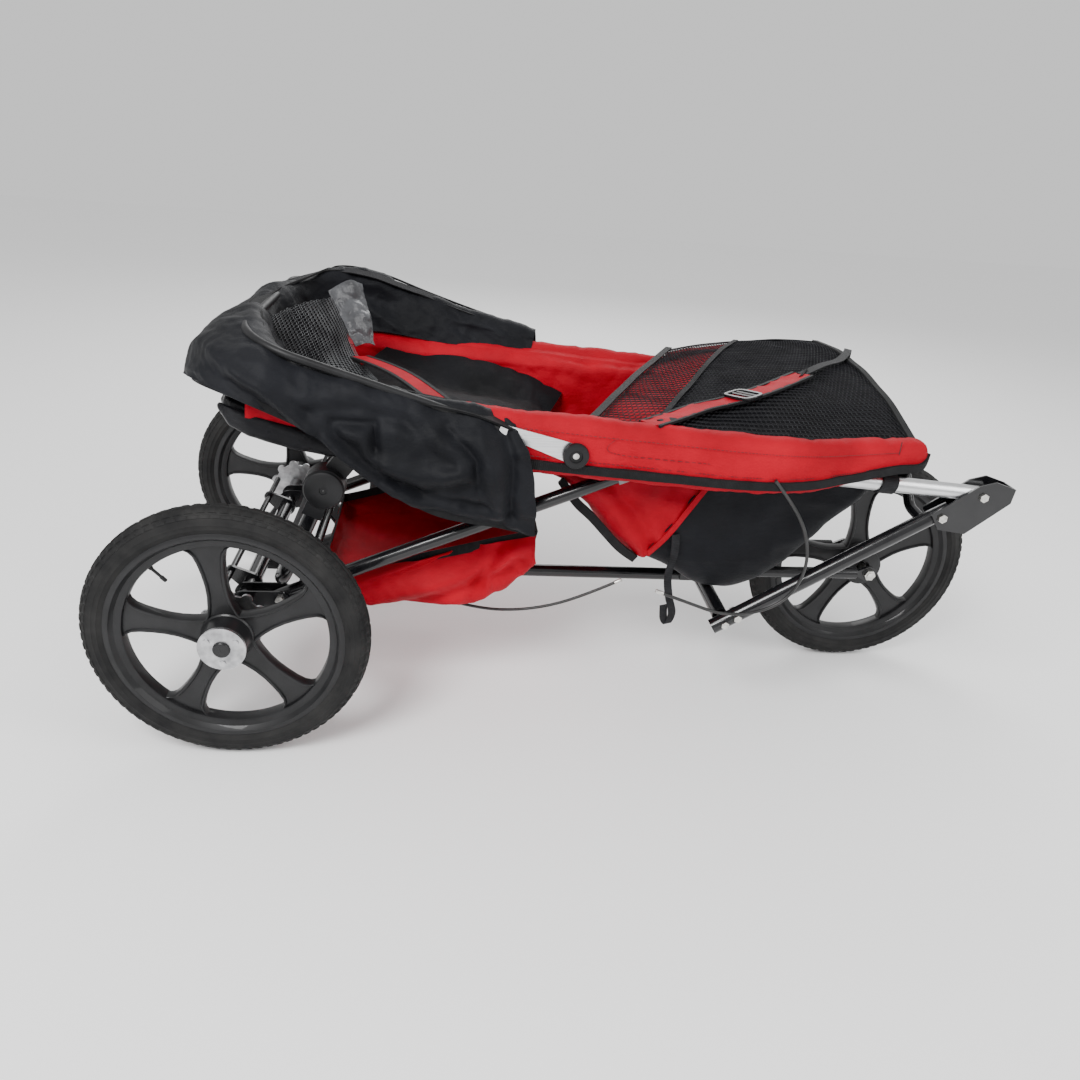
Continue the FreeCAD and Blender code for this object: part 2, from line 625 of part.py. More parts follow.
strap_x = LEG_TOP[0] + 18
feature("hanging_strap", box((strap_x - size("strap_width") / 2, strap_x + size("strap_width") / 2),
                             (-CABIN_Y - 3 - size("strap_thickness"), -CABIN_Y - 3),
                             (LEG_TOP[1] - 300, LEG_TOP[1] - 160)))

# Front struts, modelled along their own X from the rail's front end down to the foot.

STRUT_R = size("strut_radius")
STRUT_LENGTH = size("strut_length")
strut_start = size("strut_start")
cheek = max(RAIL_R, STRUT_R) + 1
nose = [(-34, 32), (-48, 14), (-26, -12), (0, -20), (22, -18), (78, -14), (78, 15), (44, 44)]
for side_name, side in (("left", 1), ("right", -1)):
    bores = [("bolt_radius", x) for x in (66, STRUT_LENGTH - 22, STRUT_LENGTH)]
    strut = tube_part("strut_tube_" + side_name, "strut_radius", "strut_length + 20 - strut_start",
                      (strut_start, side * RAIL_Y, 0), (1, 0, 0), bores)
    strut.Placement = STRUT_FRAME
    bracket = []
    for face in (RAIL_Y - cheek - PLATE, RAIL_Y + cheek):
        plate = side_plate(nose, face, face + PLATE)
        bracket.append(plate.cut([pin(BOLT, 0, 0, 0, 300), pin(BOLT, 66, 0, 0, 300)]))
    web_path = [nose[-1], nose[0], nose[1]]
    web = side_plate(web_path + [(-45, 11), (-31, 28), (43, 40)], RAIL_Y - cheek, RAIL_Y + cheek)
    bracket_shape = bracket[0].fuse([bracket[1], web]).removeSplitter()
    if side < 0:
        bracket_shape = both_sides(bracket_shape)[1]
    feature("strut_bracket_" + side_name, bracket_shape).Placement = STRUT_FRAME

cheek_bolts = []
for bolt_x in (0, 66):
    cheek_bolts.extend(both_sides(bolt(bolt_x, 0, RAIL_Y - cheek - PLATE, RAIL_Y + cheek + PLATE,
                                       head=7, head_length=4, nut_length=4)))
foot_bolts = []
for bolt_x in (STRUT_LENGTH - 22, STRUT_LENGTH):
    foot_bolts.extend(both_sides(bolt(bolt_x, 0, RAIL_Y - STRUT_R, RAIL_Y + STRUT_R,
                                      head=6.5, head_length=4, nut_length=3)))
group("strut_bolts", cheek_bolts + foot_bolts).Placement = STRUT_FRAME

ARCH_R = size("arch_radius")
arch_foot = 88
arch_points = [(arch_foot, -(RAIL_Y - STRUT_R) - 3, 0), (arch_foot, -RAIL_Y + 42, -8),
               (66, -RAIL_Y + 72, -46), (66, RAIL_Y - 72, -46), (arch_foot, RAIL_Y - 42, -8),
               (arch_foot, RAIL_Y - STRUT_R + 3, 0)]
arch = bar_along(rounded_path(arch_points, [25, 25, 25, 25]), ARCH_R)
for side in (1, -1):
    arch = arch.cut(rod(STRUT_R, (0, side * RAIL_Y, 0), (200, side * RAIL_Y, 0)))
feature("strut_arch", arch).Placement = STRUT_FRAME

# Handle: a U-shaped bar that folds about the two knuckles, with its foam grip and brake lever.

HANDLE_R = size("handle_radius")
HANDLE_L = size("handle_length")
cap_low = arm_y[1] + 0.4
cap_high = cap_low + size("knuckle_half")
for side_name, side in (("left", 1), ("right", -1)):
    cap = pin(size("knuckle_radius"), 0, 0, cap_low, cap_high)
    cap = cap.fuse(box((0, 46), (cap_low, cap_high), (-14, 14))).removeSplitter()
    cap = cap.cut(pin(BOLT + size("pivot_clearance"), 0, 0, 0, 300))
    if side < 0:
        cap = both_sides(cap)[1]
    feature("knuckle_cap_" + side_name, cap).Placement = HANDLE_FRAME
handle_y = (cap_low + cap_high) / 2
handle_points = [(46, -handle_y, 0), (HANDLE_L, -handle_y, 0), (HANDLE_L, handle_y, 0),
                 (46, handle_y, 0)]
handle_path = rounded_path(handle_points, [size("handle_corner"), size("handle_corner")])
handle_bar = bar_along(handle_path, HANDLE_R)
feature("handle_tube", handle_bar.cut(bar_along(handle_path, HANDLE_R - WALL))).Placement = HANDLE_FRAME
grip = tube_part("handle_grip", "grip_radius", "2 * grip_half_length",
                 (HANDLE_L, -size("grip_half_length"), 0), Y_AXIS, inner="( grip_radius - handle_radius )")
grip.Placement = HANDLE_FRAME

LEVER_X = 96
clamp = pin(HANDLE_R + 5, 0, 0, -9, 9)
clamp.rotate(FreeCAD.Vector(0, 0, 0), Z_AXIS, 90)
clamp.translate(FreeCAD.Vector(LEVER_X, -handle_y, 0))
clamp = clamp.fuse(box((LEVER_X - 9, LEVER_X + 9), (-handle_y - 5, -handle_y + 5), (10, 34)))
clamp = clamp.cut([rod(HANDLE_R, (46, -handle_y, 0), (HANDLE_L - 42, -handle_y, 0)),
                   box((LEVER_X - 20, LEVER_X + 20), (-handle_y - 2.6, -handle_y + 2.6), (19, 40)),
                   pin(2.5, LEVER_X, 28, -300, 0)])
lever_pin = pin(2.5, LEVER_X, 28, -handle_y - 5, -handle_y + 5)
feature("lever_clamp", clamp.fuse(lever_pin)).Placement = HANDLE_FRAME
blade = link_plate((LEVER_X, 28), 5, (LEVER_X + 62, 36), 4, -handle_y - 2.2, -handle_y + 2.2)
blade = blade.cut(pin(2.5 + size("pivot_clearance"), LEVER_X, 28, -300, 0))
feature("brake_lever", blade).Placement = HANDLE_FRAME

# Canopy: hinge arms outside the rails, a wire hoop and the gathered cloth around it.

CANOPY_Y = RAIL_Y + SLEEVE_Y + 4
ARM_T = size("canopy_arm_thickness")
arm_plate = link_plate((0, 0), 15, (size("canopy_arm"), 0), 8, CANOPY_Y - ARM_T / 2,
                       CANOPY_Y + ARM_T / 2)
arm_plate = arm_plate.fuse(pin(15, 0, 0, CANOPY_Y, CANOPY_Y + 6))
arm_plate = arm_plate.cut(pin(BOLT + size("pivot_clearance"), 0, 0, 0, 300)).removeSplitter()
arms = both_sides(arm_plate)
group("canopy_arms", arms).Placement = CANOPY_FRAME
hoop_start = size("canopy_arm") + 8
hoop_length = size("canopy_length")
wire_points = [(hoop_start, -CANOPY_Y, 0), (hoop_length, -CANOPY_Y, 0),
               (hoop_length, CANOPY_Y, 0), (hoop_start, CANOPY_Y, 0)]
wire_path = rounded_path(wire_points, [size("canopy_corner"), size("canopy_corner")])
hoop_wire = bar_along(wire_path, size("canopy_wire_radius"))
feature("canopy_hoop", hoop_wire).Placement = CANOPY_FRAME

hood_back = hoop_back - 22
hood_front = -size("canopy_back") - 30
hood_base = size("sleeve_top") + 4
hood_top = size("canopy_height")
hood_y = RAIL_Y + SLEEVE_Y + 12
wall = size("canopy_wall")
hood = side_plate([(hood_back, hood_base), (hood_front, hood_base), (hood_front, hood_base + 14),
                   (hood_back + 150, hood_top), (hood_back + 30, hood_top),
                   (hood_back, hood_top - 30)], -hood_y, hood_y)
hollow = box((hood_back + wall, 600), (-hood_y + wall, hood_y - wall), (-400, 400))
hood = hood.cut(hollow)
wire_on_rail = hoop_wire.copy()
wire_on_rail.Placement = RAIL_FRAME.inverse().multiply(CANOPY_FRAME)
arms_on_rail = [arm.copy() for arm in arms]
for arm in arms_on_rail:
    arm.Placement = RAIL_FRAME.inverse().multiply(CANOPY_FRAME)
hood = hood.cut([wire_on_rail] + arms_on_rail)
feature("canopy_hood", hood).Placement = RAIL_FRAME

# Cables: bare brake cable hanging from the rail, and the lower one under the basket.


def free_cable(points):
    """A round cable whose arcs are as large as their runs allow."""
    vectors = [FreeCAD.Vector(*point) for point in points]
    bends = []
    for before, corner, after in zip(vectors, vectors[1:], vectors[2:]):
        turn = (corner - before).getAngle(after - corner)
        shorter = min((corner - before).Length, (after - corner).Length)
        bends.append(0.45 * shorter / math.tan(turn / 2))
    print("cable arc radii", [round(bend) for bend in bends])
    path = rounded_path(points, bends)
    cable = bar_along(path, size("cable_radius"))
    ratio = cable.Volume / (math.pi * size("cable_radius") ** 2 * path.Length)
    print("cable length", round(path.Length), "volume over section times length", round(ratio, 3))
    return cable


CABLE_Y = RAIL_Y + SLEEVE_Y + 9
cable_points = [(771 + REAR_X, -CABLE_Y, 447), (806 + REAR_X, -CABLE_Y, 410),
                (836 + REAR_X, -CABLE_Y, 362), (848 + REAR_X, -CABLE_Y, 305),
                (828 + REAR_X, -CABLE_Y, 252), (780 + REAR_X, -CABLE_Y, 226),
                (724 + REAR_X, -CABLE_Y - 4, 226), (674 + REAR_X, -CABLE_Y - 2, 243),
                (630 + REAR_X, -CABLE_Y, 258)]
feature("brake_cable", free_cable(cable_points))
low_points = [(300 + REAR_X, -118, 160), (352 + REAR_X, -122, 148), (410 + REAR_X, -128, 147),
              (470 + REAR_X, -132, 158), (528 + REAR_X, -134, 180), (584 + REAR_X, -132, 208)]
feature("lower_cable", free_cable(low_points))

# Check every object before anything is written.

doc.recompute()
for obj in doc.Objects:
    if "Invalid" in obj.State or "Error" in obj.State:
        raise RuntimeError(obj.Label + " failed to build")
for name, obj in nodes.items():
    if obj.Shape.isNull() or not obj.Shape.isValid():
        raise RuntimeError(name + " has no valid shape")
os.makedirs("parts", exist_ok=True)
box_all = FreeCAD.BoundBox()
for name, obj in nodes.items():
    obj.Shape.exportStep("parts/" + name + ".step")
    box_all.add(obj.Shape.BoundBox)
print(len(nodes), "nodes", box_all)
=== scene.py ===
# %% [markdown]
# A three-wheeled pet stroller, folded flat. The metal frame, hinges and axles come from the CAD
# model and stay exactly where they are. This lesson gives them their finishes, and models what CAD
# only blocked in: the cloth cabin, the crumpled canopy, tyres with tread, moulded wheels, webbing,
# buckles and brake cables.

# %% Load the frame
import bpy
import json
import math
from mathutils import Matrix, Vector, noise


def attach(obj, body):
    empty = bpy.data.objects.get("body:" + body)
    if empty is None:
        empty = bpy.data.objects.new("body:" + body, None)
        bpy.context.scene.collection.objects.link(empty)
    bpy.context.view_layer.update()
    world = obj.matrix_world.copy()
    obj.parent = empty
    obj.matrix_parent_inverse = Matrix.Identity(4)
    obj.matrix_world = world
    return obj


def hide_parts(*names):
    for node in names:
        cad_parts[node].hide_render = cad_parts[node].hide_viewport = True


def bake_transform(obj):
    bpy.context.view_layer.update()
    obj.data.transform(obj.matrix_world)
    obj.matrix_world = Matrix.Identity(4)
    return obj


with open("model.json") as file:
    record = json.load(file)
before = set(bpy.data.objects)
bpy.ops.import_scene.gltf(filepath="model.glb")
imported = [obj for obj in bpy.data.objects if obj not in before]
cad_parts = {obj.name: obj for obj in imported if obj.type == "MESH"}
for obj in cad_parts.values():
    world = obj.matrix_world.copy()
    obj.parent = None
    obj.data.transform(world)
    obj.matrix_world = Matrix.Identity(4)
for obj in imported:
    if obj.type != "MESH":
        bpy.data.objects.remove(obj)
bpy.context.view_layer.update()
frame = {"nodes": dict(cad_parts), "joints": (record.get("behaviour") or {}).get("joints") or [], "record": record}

nodes = frame["nodes"]
hinge = {joint["name"]: joint for joint in frame["joints"]}
MM = 0.001

# %% [markdown]
# The camera stands low at the stroller's right, looking a little forward and down. Its three axes
# are written out, because it is also rolled a few degrees.

# %% Camera
CAMERA_PLACE = Vector((-0.2215, -1.395, 0.883))
CAMERA_RIGHT = Vector((0.9941, -0.0795, 0.0733))
CAMERA_UP = Vector((-0.0318, 0.4329, 0.9008))
camera_data = bpy.data.cameras.new("camera")
camera_data.lens = 29.13
camera_data.sensor_width = 36
camera = bpy.data.objects.new("camera", camera_data)
bpy.context.scene.collection.objects.link(camera)
camera_back = CAMERA_RIGHT.cross(CAMERA_UP).normalized()
camera_up = camera_back.cross(CAMERA_RIGHT).normalized()
turn = Matrix((CAMERA_RIGHT.normalized(), camera_up, camera_back)).transposed()
camera.matrix_world = Matrix.Translation(CAMERA_PLACE) @ turn.to_4x4()
bpy.context.scene.camera = camera

# %% [markdown]
# Every piece of cloth hangs from the rails, so most places are given in the rails' own frame: along
# the rail from the leg pivot, above it, and across the stroller. The rail's two pivots set it up.
# Other places are given from the rear axle, which lies 528.5 mm behind the origin.

# %% Places on the rails
RAIL_PIVOT = Vector(hinge["rail_pivot"]["pos_m"])
STRUT_PIVOT = Vector(hinge["strut_pivot"]["pos_m"])
ALONG = (STRUT_PIVOT - RAIL_PIVOT).normalized()
ABOVE = Vector((-ALONG.z, 0, ALONG.x))
REAR_AXLE = 0.5285
SIDES = (("left", 1), ("right", -1))


def on_rail(along, above, across):
    """A place from millimetres along, above and across the rails."""
    return RAIL_PIVOT + (ALONG * along + ABOVE * above) * MM + Vector((0, across * MM, 0))


def from_axle(x, y, z):
    """A place from millimetres ahead of the rear axle, across, and above the ground."""
    return Vector((x * MM - REAR_AXLE, y * MM, z * MM))


def clear_selection():
    """Operators act on all that is selected, so each piece starts from nothing selected."""
    if bpy.context.object and bpy.context.object.mode != "OBJECT":
        bpy.ops.object.mode_set(mode="OBJECT")
    bpy.ops.object.select_all(action="DESELECT")


def select_only(piece):
    """Select one piece and make it the active one."""
    clear_selection()
    piece.select_set(True)
    bpy.context.view_layer.objects.active = piece


def named(name):
    """Name the object that an operator has just added, and bake its place into its mesh."""
    piece = bpy.context.object
    piece.name = name
    piece.data.name = name
    bpy.ops.object.transform_apply(location=True, rotation=True, scale=True)
    return piece


def modify(piece, kind, **settings):
    """Add a modifier and apply it."""
    select_only(piece)
    modifier = piece.modifiers.new(kind.lower(), kind)
    for key, value in settings.items():
        setattr(modifier, key, value)
    bpy.ops.object.modifier_apply(modifier=modifier.name)
    return piece


def smooth(piece, angle=40):
    """Smooth shading except across edges sharper than the angle."""
    select_only(piece)
    bpy.ops.object.shade_smooth_by_angle(angle=math.radians(angle))
    return piece


def paint(piece, material):
    """Give a piece one material."""
    piece.data.materials.clear()
    piece.data.materials.append(material)
    return piece


def meshed(name, vertices, faces):
    """A piece made straight from a list of places and a list of faces."""
    mesh = bpy.data.meshes.new(name)
    mesh.from_pydata(vertices, [], faces)
    piece = bpy.data.objects.new(name, mesh)
    bpy.context.scene.collection.objects.link(piece)
    return piece


def joined(name, pieces):
    """Join several meshes into one piece."""
    clear_selection()
    for piece in pieces:
        piece.select_set(True)
    bpy.context.view_layer.objects.active = pieces[0]
    bpy.ops.object.join()
    piece = bpy.context.object
    piece.name = name
    piece.data.name = name
    return piece


# %% [markdown]
# All the finishes come first. Each is built from noise, waves and cells on Object coordinates, or
# on the cloth's own UV map, whose unit is a metre, so that weave and ribs keep their real size.

# %% Material helpers
def shader_of(material):
    return material.node_tree.nodes["Principled BSDF"]


def new_material(name, colour, roughness, **sockets):
    """A material with its plain numbers on the shader's own sockets."""
    material = bpy.data.materials.new(name)
    material.use_nodes = True
    shader = shader_of(material)
    shader.inputs["Base Color"].default_value = (*colour, 1)
    shader.inputs["Roughness"].default_value = roughness
    for key, value in sockets.items():
        shader.inputs[key.replace("_", " ")].default_value = value
    return material


def add_node(material, kind, **settings):
    """A node with some of its inputs or properties set."""
    node = material.node_tree.nodes.new(kind)
    for key, value in settings.items():
        label = key.replace("_", " ").title()
        if label in node.inputs:
            node.inputs[label].default_value = value
        else:
            setattr(node, key, value)
    return node


def wire(material, source, target):
    """Connect an output socket to an input socket."""
    material.node_tree.links.new(source, target)


def pattern_space(material, output="Object", scale=(1, 1, 1), rotation=(0, 0, 0)):
    """Coordinates for a pattern, scaled and turned."""
    coordinates = add_node(material, "ShaderNodeTexCoord")
    mapping = add_node(material, "ShaderNodeMapping")
    mapping.inputs["Scale"].default_value = scale
    mapping.inputs["Rotation"].default_value = rotation
    wire(material, coordinates.outputs[output], mapping.inputs["Vector"])
    return mapping.outputs["Vector"]


def noise_on(material, space, scale, detail=4.0, roughness=0.55):
    """Noise read in a pattern's space."""
    node = add_node(material, "ShaderNodeTexNoise", scale=scale, detail=detail, roughness=roughness)
    wire(material, space, node.inputs["Vector"])
    return node.outputs["Fac"]


def blend_colours(material, factor, low, high, start=0.3, end=0.7):
    """Two colours along a factor, into the base colour."""
    ramp = add_node(material, "ShaderNodeValToRGB")
    ramp.color_ramp.elements[0].position = start
    ramp.color_ramp.elements[1].position = end
    ramp.color_ramp.elements[0].color = (*low, 1)
    ramp.color_ramp.elements[1].color = (*high, 1)
    wire(material, factor, ramp.inputs["Fac"])
    wire(material, ramp.outputs["Color"], shader_of(material).inputs["Base Color"])


def vary_roughness(material, factor, low, high):
    """Roughness between two values along a factor."""
    span = add_node(material, "ShaderNodeMapRange")
    span.inputs["To Min"].default_value = low
    span.inputs["To Max"].default_value = high
    wire(material, factor, span.inputs["Value"])
    wire(material, span.outputs["Result"], shader_of(material).inputs["Roughness"])


def bumps(material, layers):
    """Stack bump layers, each a (height, strength, distance)."""
    last = None
    for height, strength, distance in layers:
        bump = add_node(material, "ShaderNodeBump", strength=strength, distance=distance)
        wire(material, height, bump.inputs["Height"])
        if last:
            wire(material, last, bump.inputs["Normal"])
        last = bump.outputs["Normal"]
    wire(material, last, shader_of(material).inputs["Normal"])


WAVE_UNIT = 0.314  # the wave scale whose ribs are a metre apart


def ribs_on(material, space, direction, pitch):
    """Ribs that follow each other at a pitch in metres."""
    wave = add_node(material, "ShaderNodeTexWave", bands_direction=direction, scale=WAVE_UNIT / pitch)
    wire(material, space, wave.inputs["Vector"])
    return wave.outputs["Fac"]


def threads(material, pitch):
    """A plain weave: warp and weft ribs that pass over and under each other."""
    space = pattern_space(material, "UV")
    ribs = [ribs_on(material, space, direction, pitch) for direction in "XY"]
    weave = add_node(material, "ShaderNodeMath", operation="MULTIPLY")
    wire(material, ribs[0], weave.inputs[0])
    wire(material, ribs[1], weave.inputs[1])
    return weave.outputs["Value"]


# %% [markdown]
# The cloth is coated polyester with a fine weave, and its bindings are ribbed tape. Both get their
# threads from waves that follow the piece's own UV map, so the threads turn with the cloth.

# %% Cloth finishes
def woven(name, low, high, roughness, pitch=0.0011, sheen=0.25):
    """Coated woven polyester: a fine weave, soft creases, and colour that shifts a little."""
    cloth = new_material(name, high, roughness, Sheen_Weight=sheen, Sheen_Roughness=0.45,
                         Specular_IOR_Level=0.12)
    space = pattern_space(cloth)
    broad = noise_on(cloth, space, 9, 3)
    blend_colours(cloth, broad, low, high, 0.32, 0.68)
    crease = noise_on(cloth, pattern_space(cloth, scale=(1, 1, 2.2)), 26, 6, 0.6)
    grain = noise_on(cloth, space, 620, 2)
    vary_roughness(cloth, noise_on(cloth, space, 38, 4), roughness - 0.1, roughness + 0.12)
    bumps(cloth, [(crease, 0.35, 0.006), (grain, 0.18, 0.0006), (threads(cloth, pitch), 0.35, 0.0005)])
    return cloth


red_cloth = woven("red_cloth", (0.25, 0.0003, 0.007), (0.40, 0.0006, 0.013), 0.6, sheen=0.0)
black_cloth = woven("black_cloth", (0.003, 0.0033, 0.0045), (0.008, 0.0085, 0.011), 0.5, sheen=0.02)
black_lining = woven("black_lining", (0.002, 0.002, 0.0026), (0.0055, 0.0055, 0.007), 0.6, sheen=0.0)


def ribbed(name, low, high, pitch, roughness=0.6):
    """Narrow ribbed tape, as on bindings and webbing."""
    tape = new_material(name, high, roughness, Sheen_Weight=0.03, Specular_IOR_Level=0.15)
    blend_colours(tape, noise_on(tape, pattern_space(tape), 60, 3), low, high)
    rib = ribs_on(tape, pattern_space(tape, "UV"), "X", pitch)
    grain = noise_on(tape, pattern_space(tape), 700, 2)
    bumps(tape, [(rib, 0.5, 0.0008), (grain, 0.2, 0.0005)])
    return tape


binding_tape = ribbed("binding_tape", (0.003, 0.003, 0.0035), (0.008, 0.008, 0.009), 0.0016)
webbing = ribbed("webbing", (0.004, 0.004, 0.005), (0.014, 0.014, 0.016), 0.0024)

# %% [markdown]
# Metal, paint, plastic and rubber are each one shader whose colour, gloss and surface vary a
# little. One helper wires up all of them, so that a finish reads as a short list of numbers.

# %% Metal, paint, plastic and rubber finishes
def finish(name, colour, roughness, tint, gloss=None, grain=None, stretch=(1, 1, 1), **sockets):
    """A finish whose tint and gloss are (noise scale, detail, low, high), and whose grain is
    (noise scale, detail, strength, distance)."""
    material = new_material(name, colour, roughness, **sockets)
    space = pattern_space(material, scale=stretch)
    scale, detail, low, high = tint
    blend_colours(material, noise_on(material, space, scale, detail), low, high)
    if gloss:
        scale, detail, low, high = gloss
        vary_roughness(material, noise_on(material, space, scale, detail), low, high)
    if grain:
        scale, detail, strength, distance = grain
        bumps(material, [(noise_on(material, space, scale, detail), strength, distance)])
    return material


gloss_paint = finish("gloss_paint", (0.005, 0.005, 0.006), 0.2,
                     (40, 5, (0.003, 0.003, 0.004), (0.009, 0.009, 0.010)), (90, 6, 0.1, 0.3),
                     (240, 3, 0.08, 0.0006), Specular_IOR_Level=0.4, Coat_Weight=0.25, Coat_Roughness=0.1)
brushed_rail = finish("brushed_rail", (0.73, 0.735, 0.74), 0.3,
                      (6, 4, (0.55, 0.555, 0.565), (0.84, 0.845, 0.85)), (9, 5, 0.22, 0.42),
                      (8, 3, 0.12, 0.0004), stretch=(3, 260, 260), Metallic=1.0)
bright_zinc = finish("bright_zinc", (0.66, 0.65, 0.62), 0.3,
                     (130, 5, (0.42, 0.41, 0.38), (0.78, 0.77, 0.74)), (300, 4, 0.2, 0.46),
                     (500, 3, 0.15, 0.0004), Metallic=1.0)
pressed_steel = finish("pressed_steel", (0.5, 0.5, 0.51), 0.36,
                       (70, 6, (0.3, 0.3, 0.31), (0.62, 0.62, 0.63)), (160, 4, 0.28, 0.5), Metallic=1.0)
moulded_plastic = finish("moulded_plastic", (0.008, 0.008, 0.009), 0.42,
                         (30, 4, (0.004, 0.004, 0.0045), (0.011, 0.011, 0.012)), (55, 5, 0.36, 0.58),
                         (900, 2, 0.25, 0.0004), Specular_IOR_Level=0.28)
rim_plastic = moulded_plastic.copy()
rim_plastic.name = "rim_plastic"
shader_of(rim_plastic).inputs["Coat Weight"].default_value = 0.15
gloss_plastic = finish("gloss_plastic", (0.006, 0.006, 0.007), 0.22,
                       (25, 3, (0.006, 0.006, 0.007), (0.013, 0.013, 0.014)), (80, 4, 0.14, 0.3),
                       Specular_IOR_Level=0.35)
grey_plastic = finish("grey_plastic", (0.16, 0.165, 0.17), 0.5,
                      (60, 4, (0.11, 0.115, 0.12), (0.2, 0.205, 0.21)), grain=(700, 2, 0.2, 0.0004))
tyre_rubber = finish("tyre_rubber", (0.012, 0.012, 0.013), 0.66,
                     (24, 6, (0.006, 0.006, 0.0065), (0.020, 0.0195, 0.019)), (60, 5, 0.58, 0.86),
                     (420, 3, 0.3, 0.0005), Specular_IOR_Level=0.2)
foam = finish("foam", (0.018, 0.018, 0.019), 0.9, (45, 4, (0.012, 0.012, 0.013), (0.028, 0.028, 0.03)),
              grain=(800, 4, 0.6, 0.0008))
cable_jacket = finish("cable_jacket", (0.012, 0.012, 0.012), 0.38,
                      (90, 3, (0.008, 0.008, 0.008), (0.018, 0.018, 0.018)))
print(len(bpy.data.materials), "materials")

# %% [markdown]
# The two brake cables come before everything else. Each is one smooth NURBS curve that has the CAD
# route's points as its control points. Its free end is closed by a crimped metal tip.

# %% Cables
CABLE_RADIUS, TIP_RADIUS, TIP_LENGTH = 0.0025, 0.0031, 0.013


def cable(name, node, body, points):
    """A cable on the route of a CAD node, with a crimped tip at its far end."""
    curve = bpy.data.curves.new(name, "CURVE")
    curve.dimensions = "3D"
    curve.bevel_depth = CABLE_RADIUS
    curve.bevel_resolution = 5
    curve.use_fill_caps = True
    line = curve.splines.new("NURBS")
    line.points.add(len(points) - 1)
    for point, place in zip(line.points, points):
        point.co = (*place, 1)
    line.order_u = 3
    line.use_endpoint_u = True
    line.resolution_u = 12
    piece = bpy.data.objects.new(name, curve)
    bpy.context.scene.collection.objects.link(piece)
    curve.materials.append(cable_jacket)
    clear_selection()
    run = (points[-1] - points[-2]).normalized()
    bpy.ops.mesh.primitive_cylinder_add(vertices=24, radius=TIP_RADIUS, depth=TIP_LENGTH,
                                        location=points[-1] + run * 0.0045)
    bpy.context.object.rotation_euler = run.to_track_quat("Z", "Y").to_euler()
    tip = named(name + "_tip")
    modify(tip, "BEVEL", width=0.0008, segments=3, limit_method="ANGLE")
    paint(smooth(tip), bright_zinc)
    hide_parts(node)
    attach(piece, body)
    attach(tip, body)


brake_route = [from_axle(771, -257, 447), from_axle(806, -257, 410), from_axle(836, -257, 362),
               from_axle(848, -257, 305), from_axle(828, -257, 252), from_axle(780, -257, 226),
               from_axle(724, -261, 226), from_axle(674, -259, 243), from_axle(630, -257, 258)]
lower_route = [from_axle(300, -118, 160), from_axle(352, -122, 148), from_axle(410, -128, 147),
               from_axle(470, -132, 158), from_axle(528, -134, 180), from_axle(584, -132, 208)]
cable("brake_cable_run", "brake_cable", "rails", brake_route)
cable("lower_cable_run", "lower_cable", "chassis", lower_route)
print("two cables, 427 and 297 mm")

# %% [markdown]
# The stage is a plain pale floor under large soft lamps, so that the black cloth shows its folds.

# %% Floor and lights
clear_selection()
bpy.ops.mesh.primitive_plane_add(size=14, location=(0, 0, -0.0005))
floor = named("floor")
paint(floor, new_material("floor_paint", (0.96, 0.96, 0.96), 0.85, Specular_IOR_Level=0.1))


def soft_lamp(name, place, aim, power, width):
    """A square area lamp that looks at a point."""
    data = bpy.data.lights.new(name, "AREA")
    data.energy = power
    data.size = width
    lamp = bpy.data.objects.new(name, data)
    lamp.location = place
    lamp.rotation_euler = (Vector(aim) - Vector(place)).to_track_quat("-Z", "Y").to_euler()
    bpy.context.scene.collection.objects.link(lamp)


soft_lamp("key_lamp", (-1.2, -1.9, 2.4), (0, 0, 0.3), 95, 1.1)
soft_lamp("fill_lamp", (2.2, -1.4, 1.7), (0, 0, 0.3), 34, 1.6)
soft_lamp("back_lamp", (0.4, 2.4, 2.2), (0, 0, 0.4), 44, 1.8)
world = bpy.data.worlds.new("studio")
world.use_nodes = True
background = world.node_tree.nodes["Background"].inputs
background["Color"].default_value = (1, 1, 1, 1)
background["Strength"].default_value = 0.85
bpy.context.scene.world = world

# %% [markdown]
# Tubes, brackets, bolts and discs have the right shape in the CAD model, so they keep it and only
# get their finish. The record says which material slot each node belongs to.

# %% Finishes for the CAD nodes
FINISH = {
    "gloss_black_tube": gloss_paint, "silver_rail": brushed_rail, "zinc_fastener": bright_zinc,
    "steel_disc": pressed_steel, "black_plastic": moulded_plastic, "grey_collar": grey_plastic,
    "rim_plastic": rim_plastic, "tyre_rubber": tyre_rubber, "foam_grip": foam,
    "button_plastic": gloss_plastic, "red_cloth": red_cloth, "black_cloth": black_cloth,
    "black_mesh": black_lining, "webbing": webbing, "cable_jacket": cable_jacket,
}
for part in frame["record"]["subparts"]:
    paint(nodes[part["node"]], FINISH[part["material_slot"]])
paint(nodes["canopy_hoop"], moulded_plastic)

# %% [markdown]
# Each wheel is a moulded one-piece rim with five waisted spokes and a block-tread tyre. Both are
# shaped from grids bent round the axle: the tyre from a section with ribs and tread blocks, the rim
# from a lipped ring, a stepped hub and a ribbed spoke that is copied round.

# %% Wheel helpers
def wear(piece, body, slot_name, *replaced):
    """Say what the piece rides on and what it stands for; the slot name, where its finish would come from, is not
    used.
    """
    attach(piece, body)
    if replaced:
        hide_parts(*replaced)
    return piece


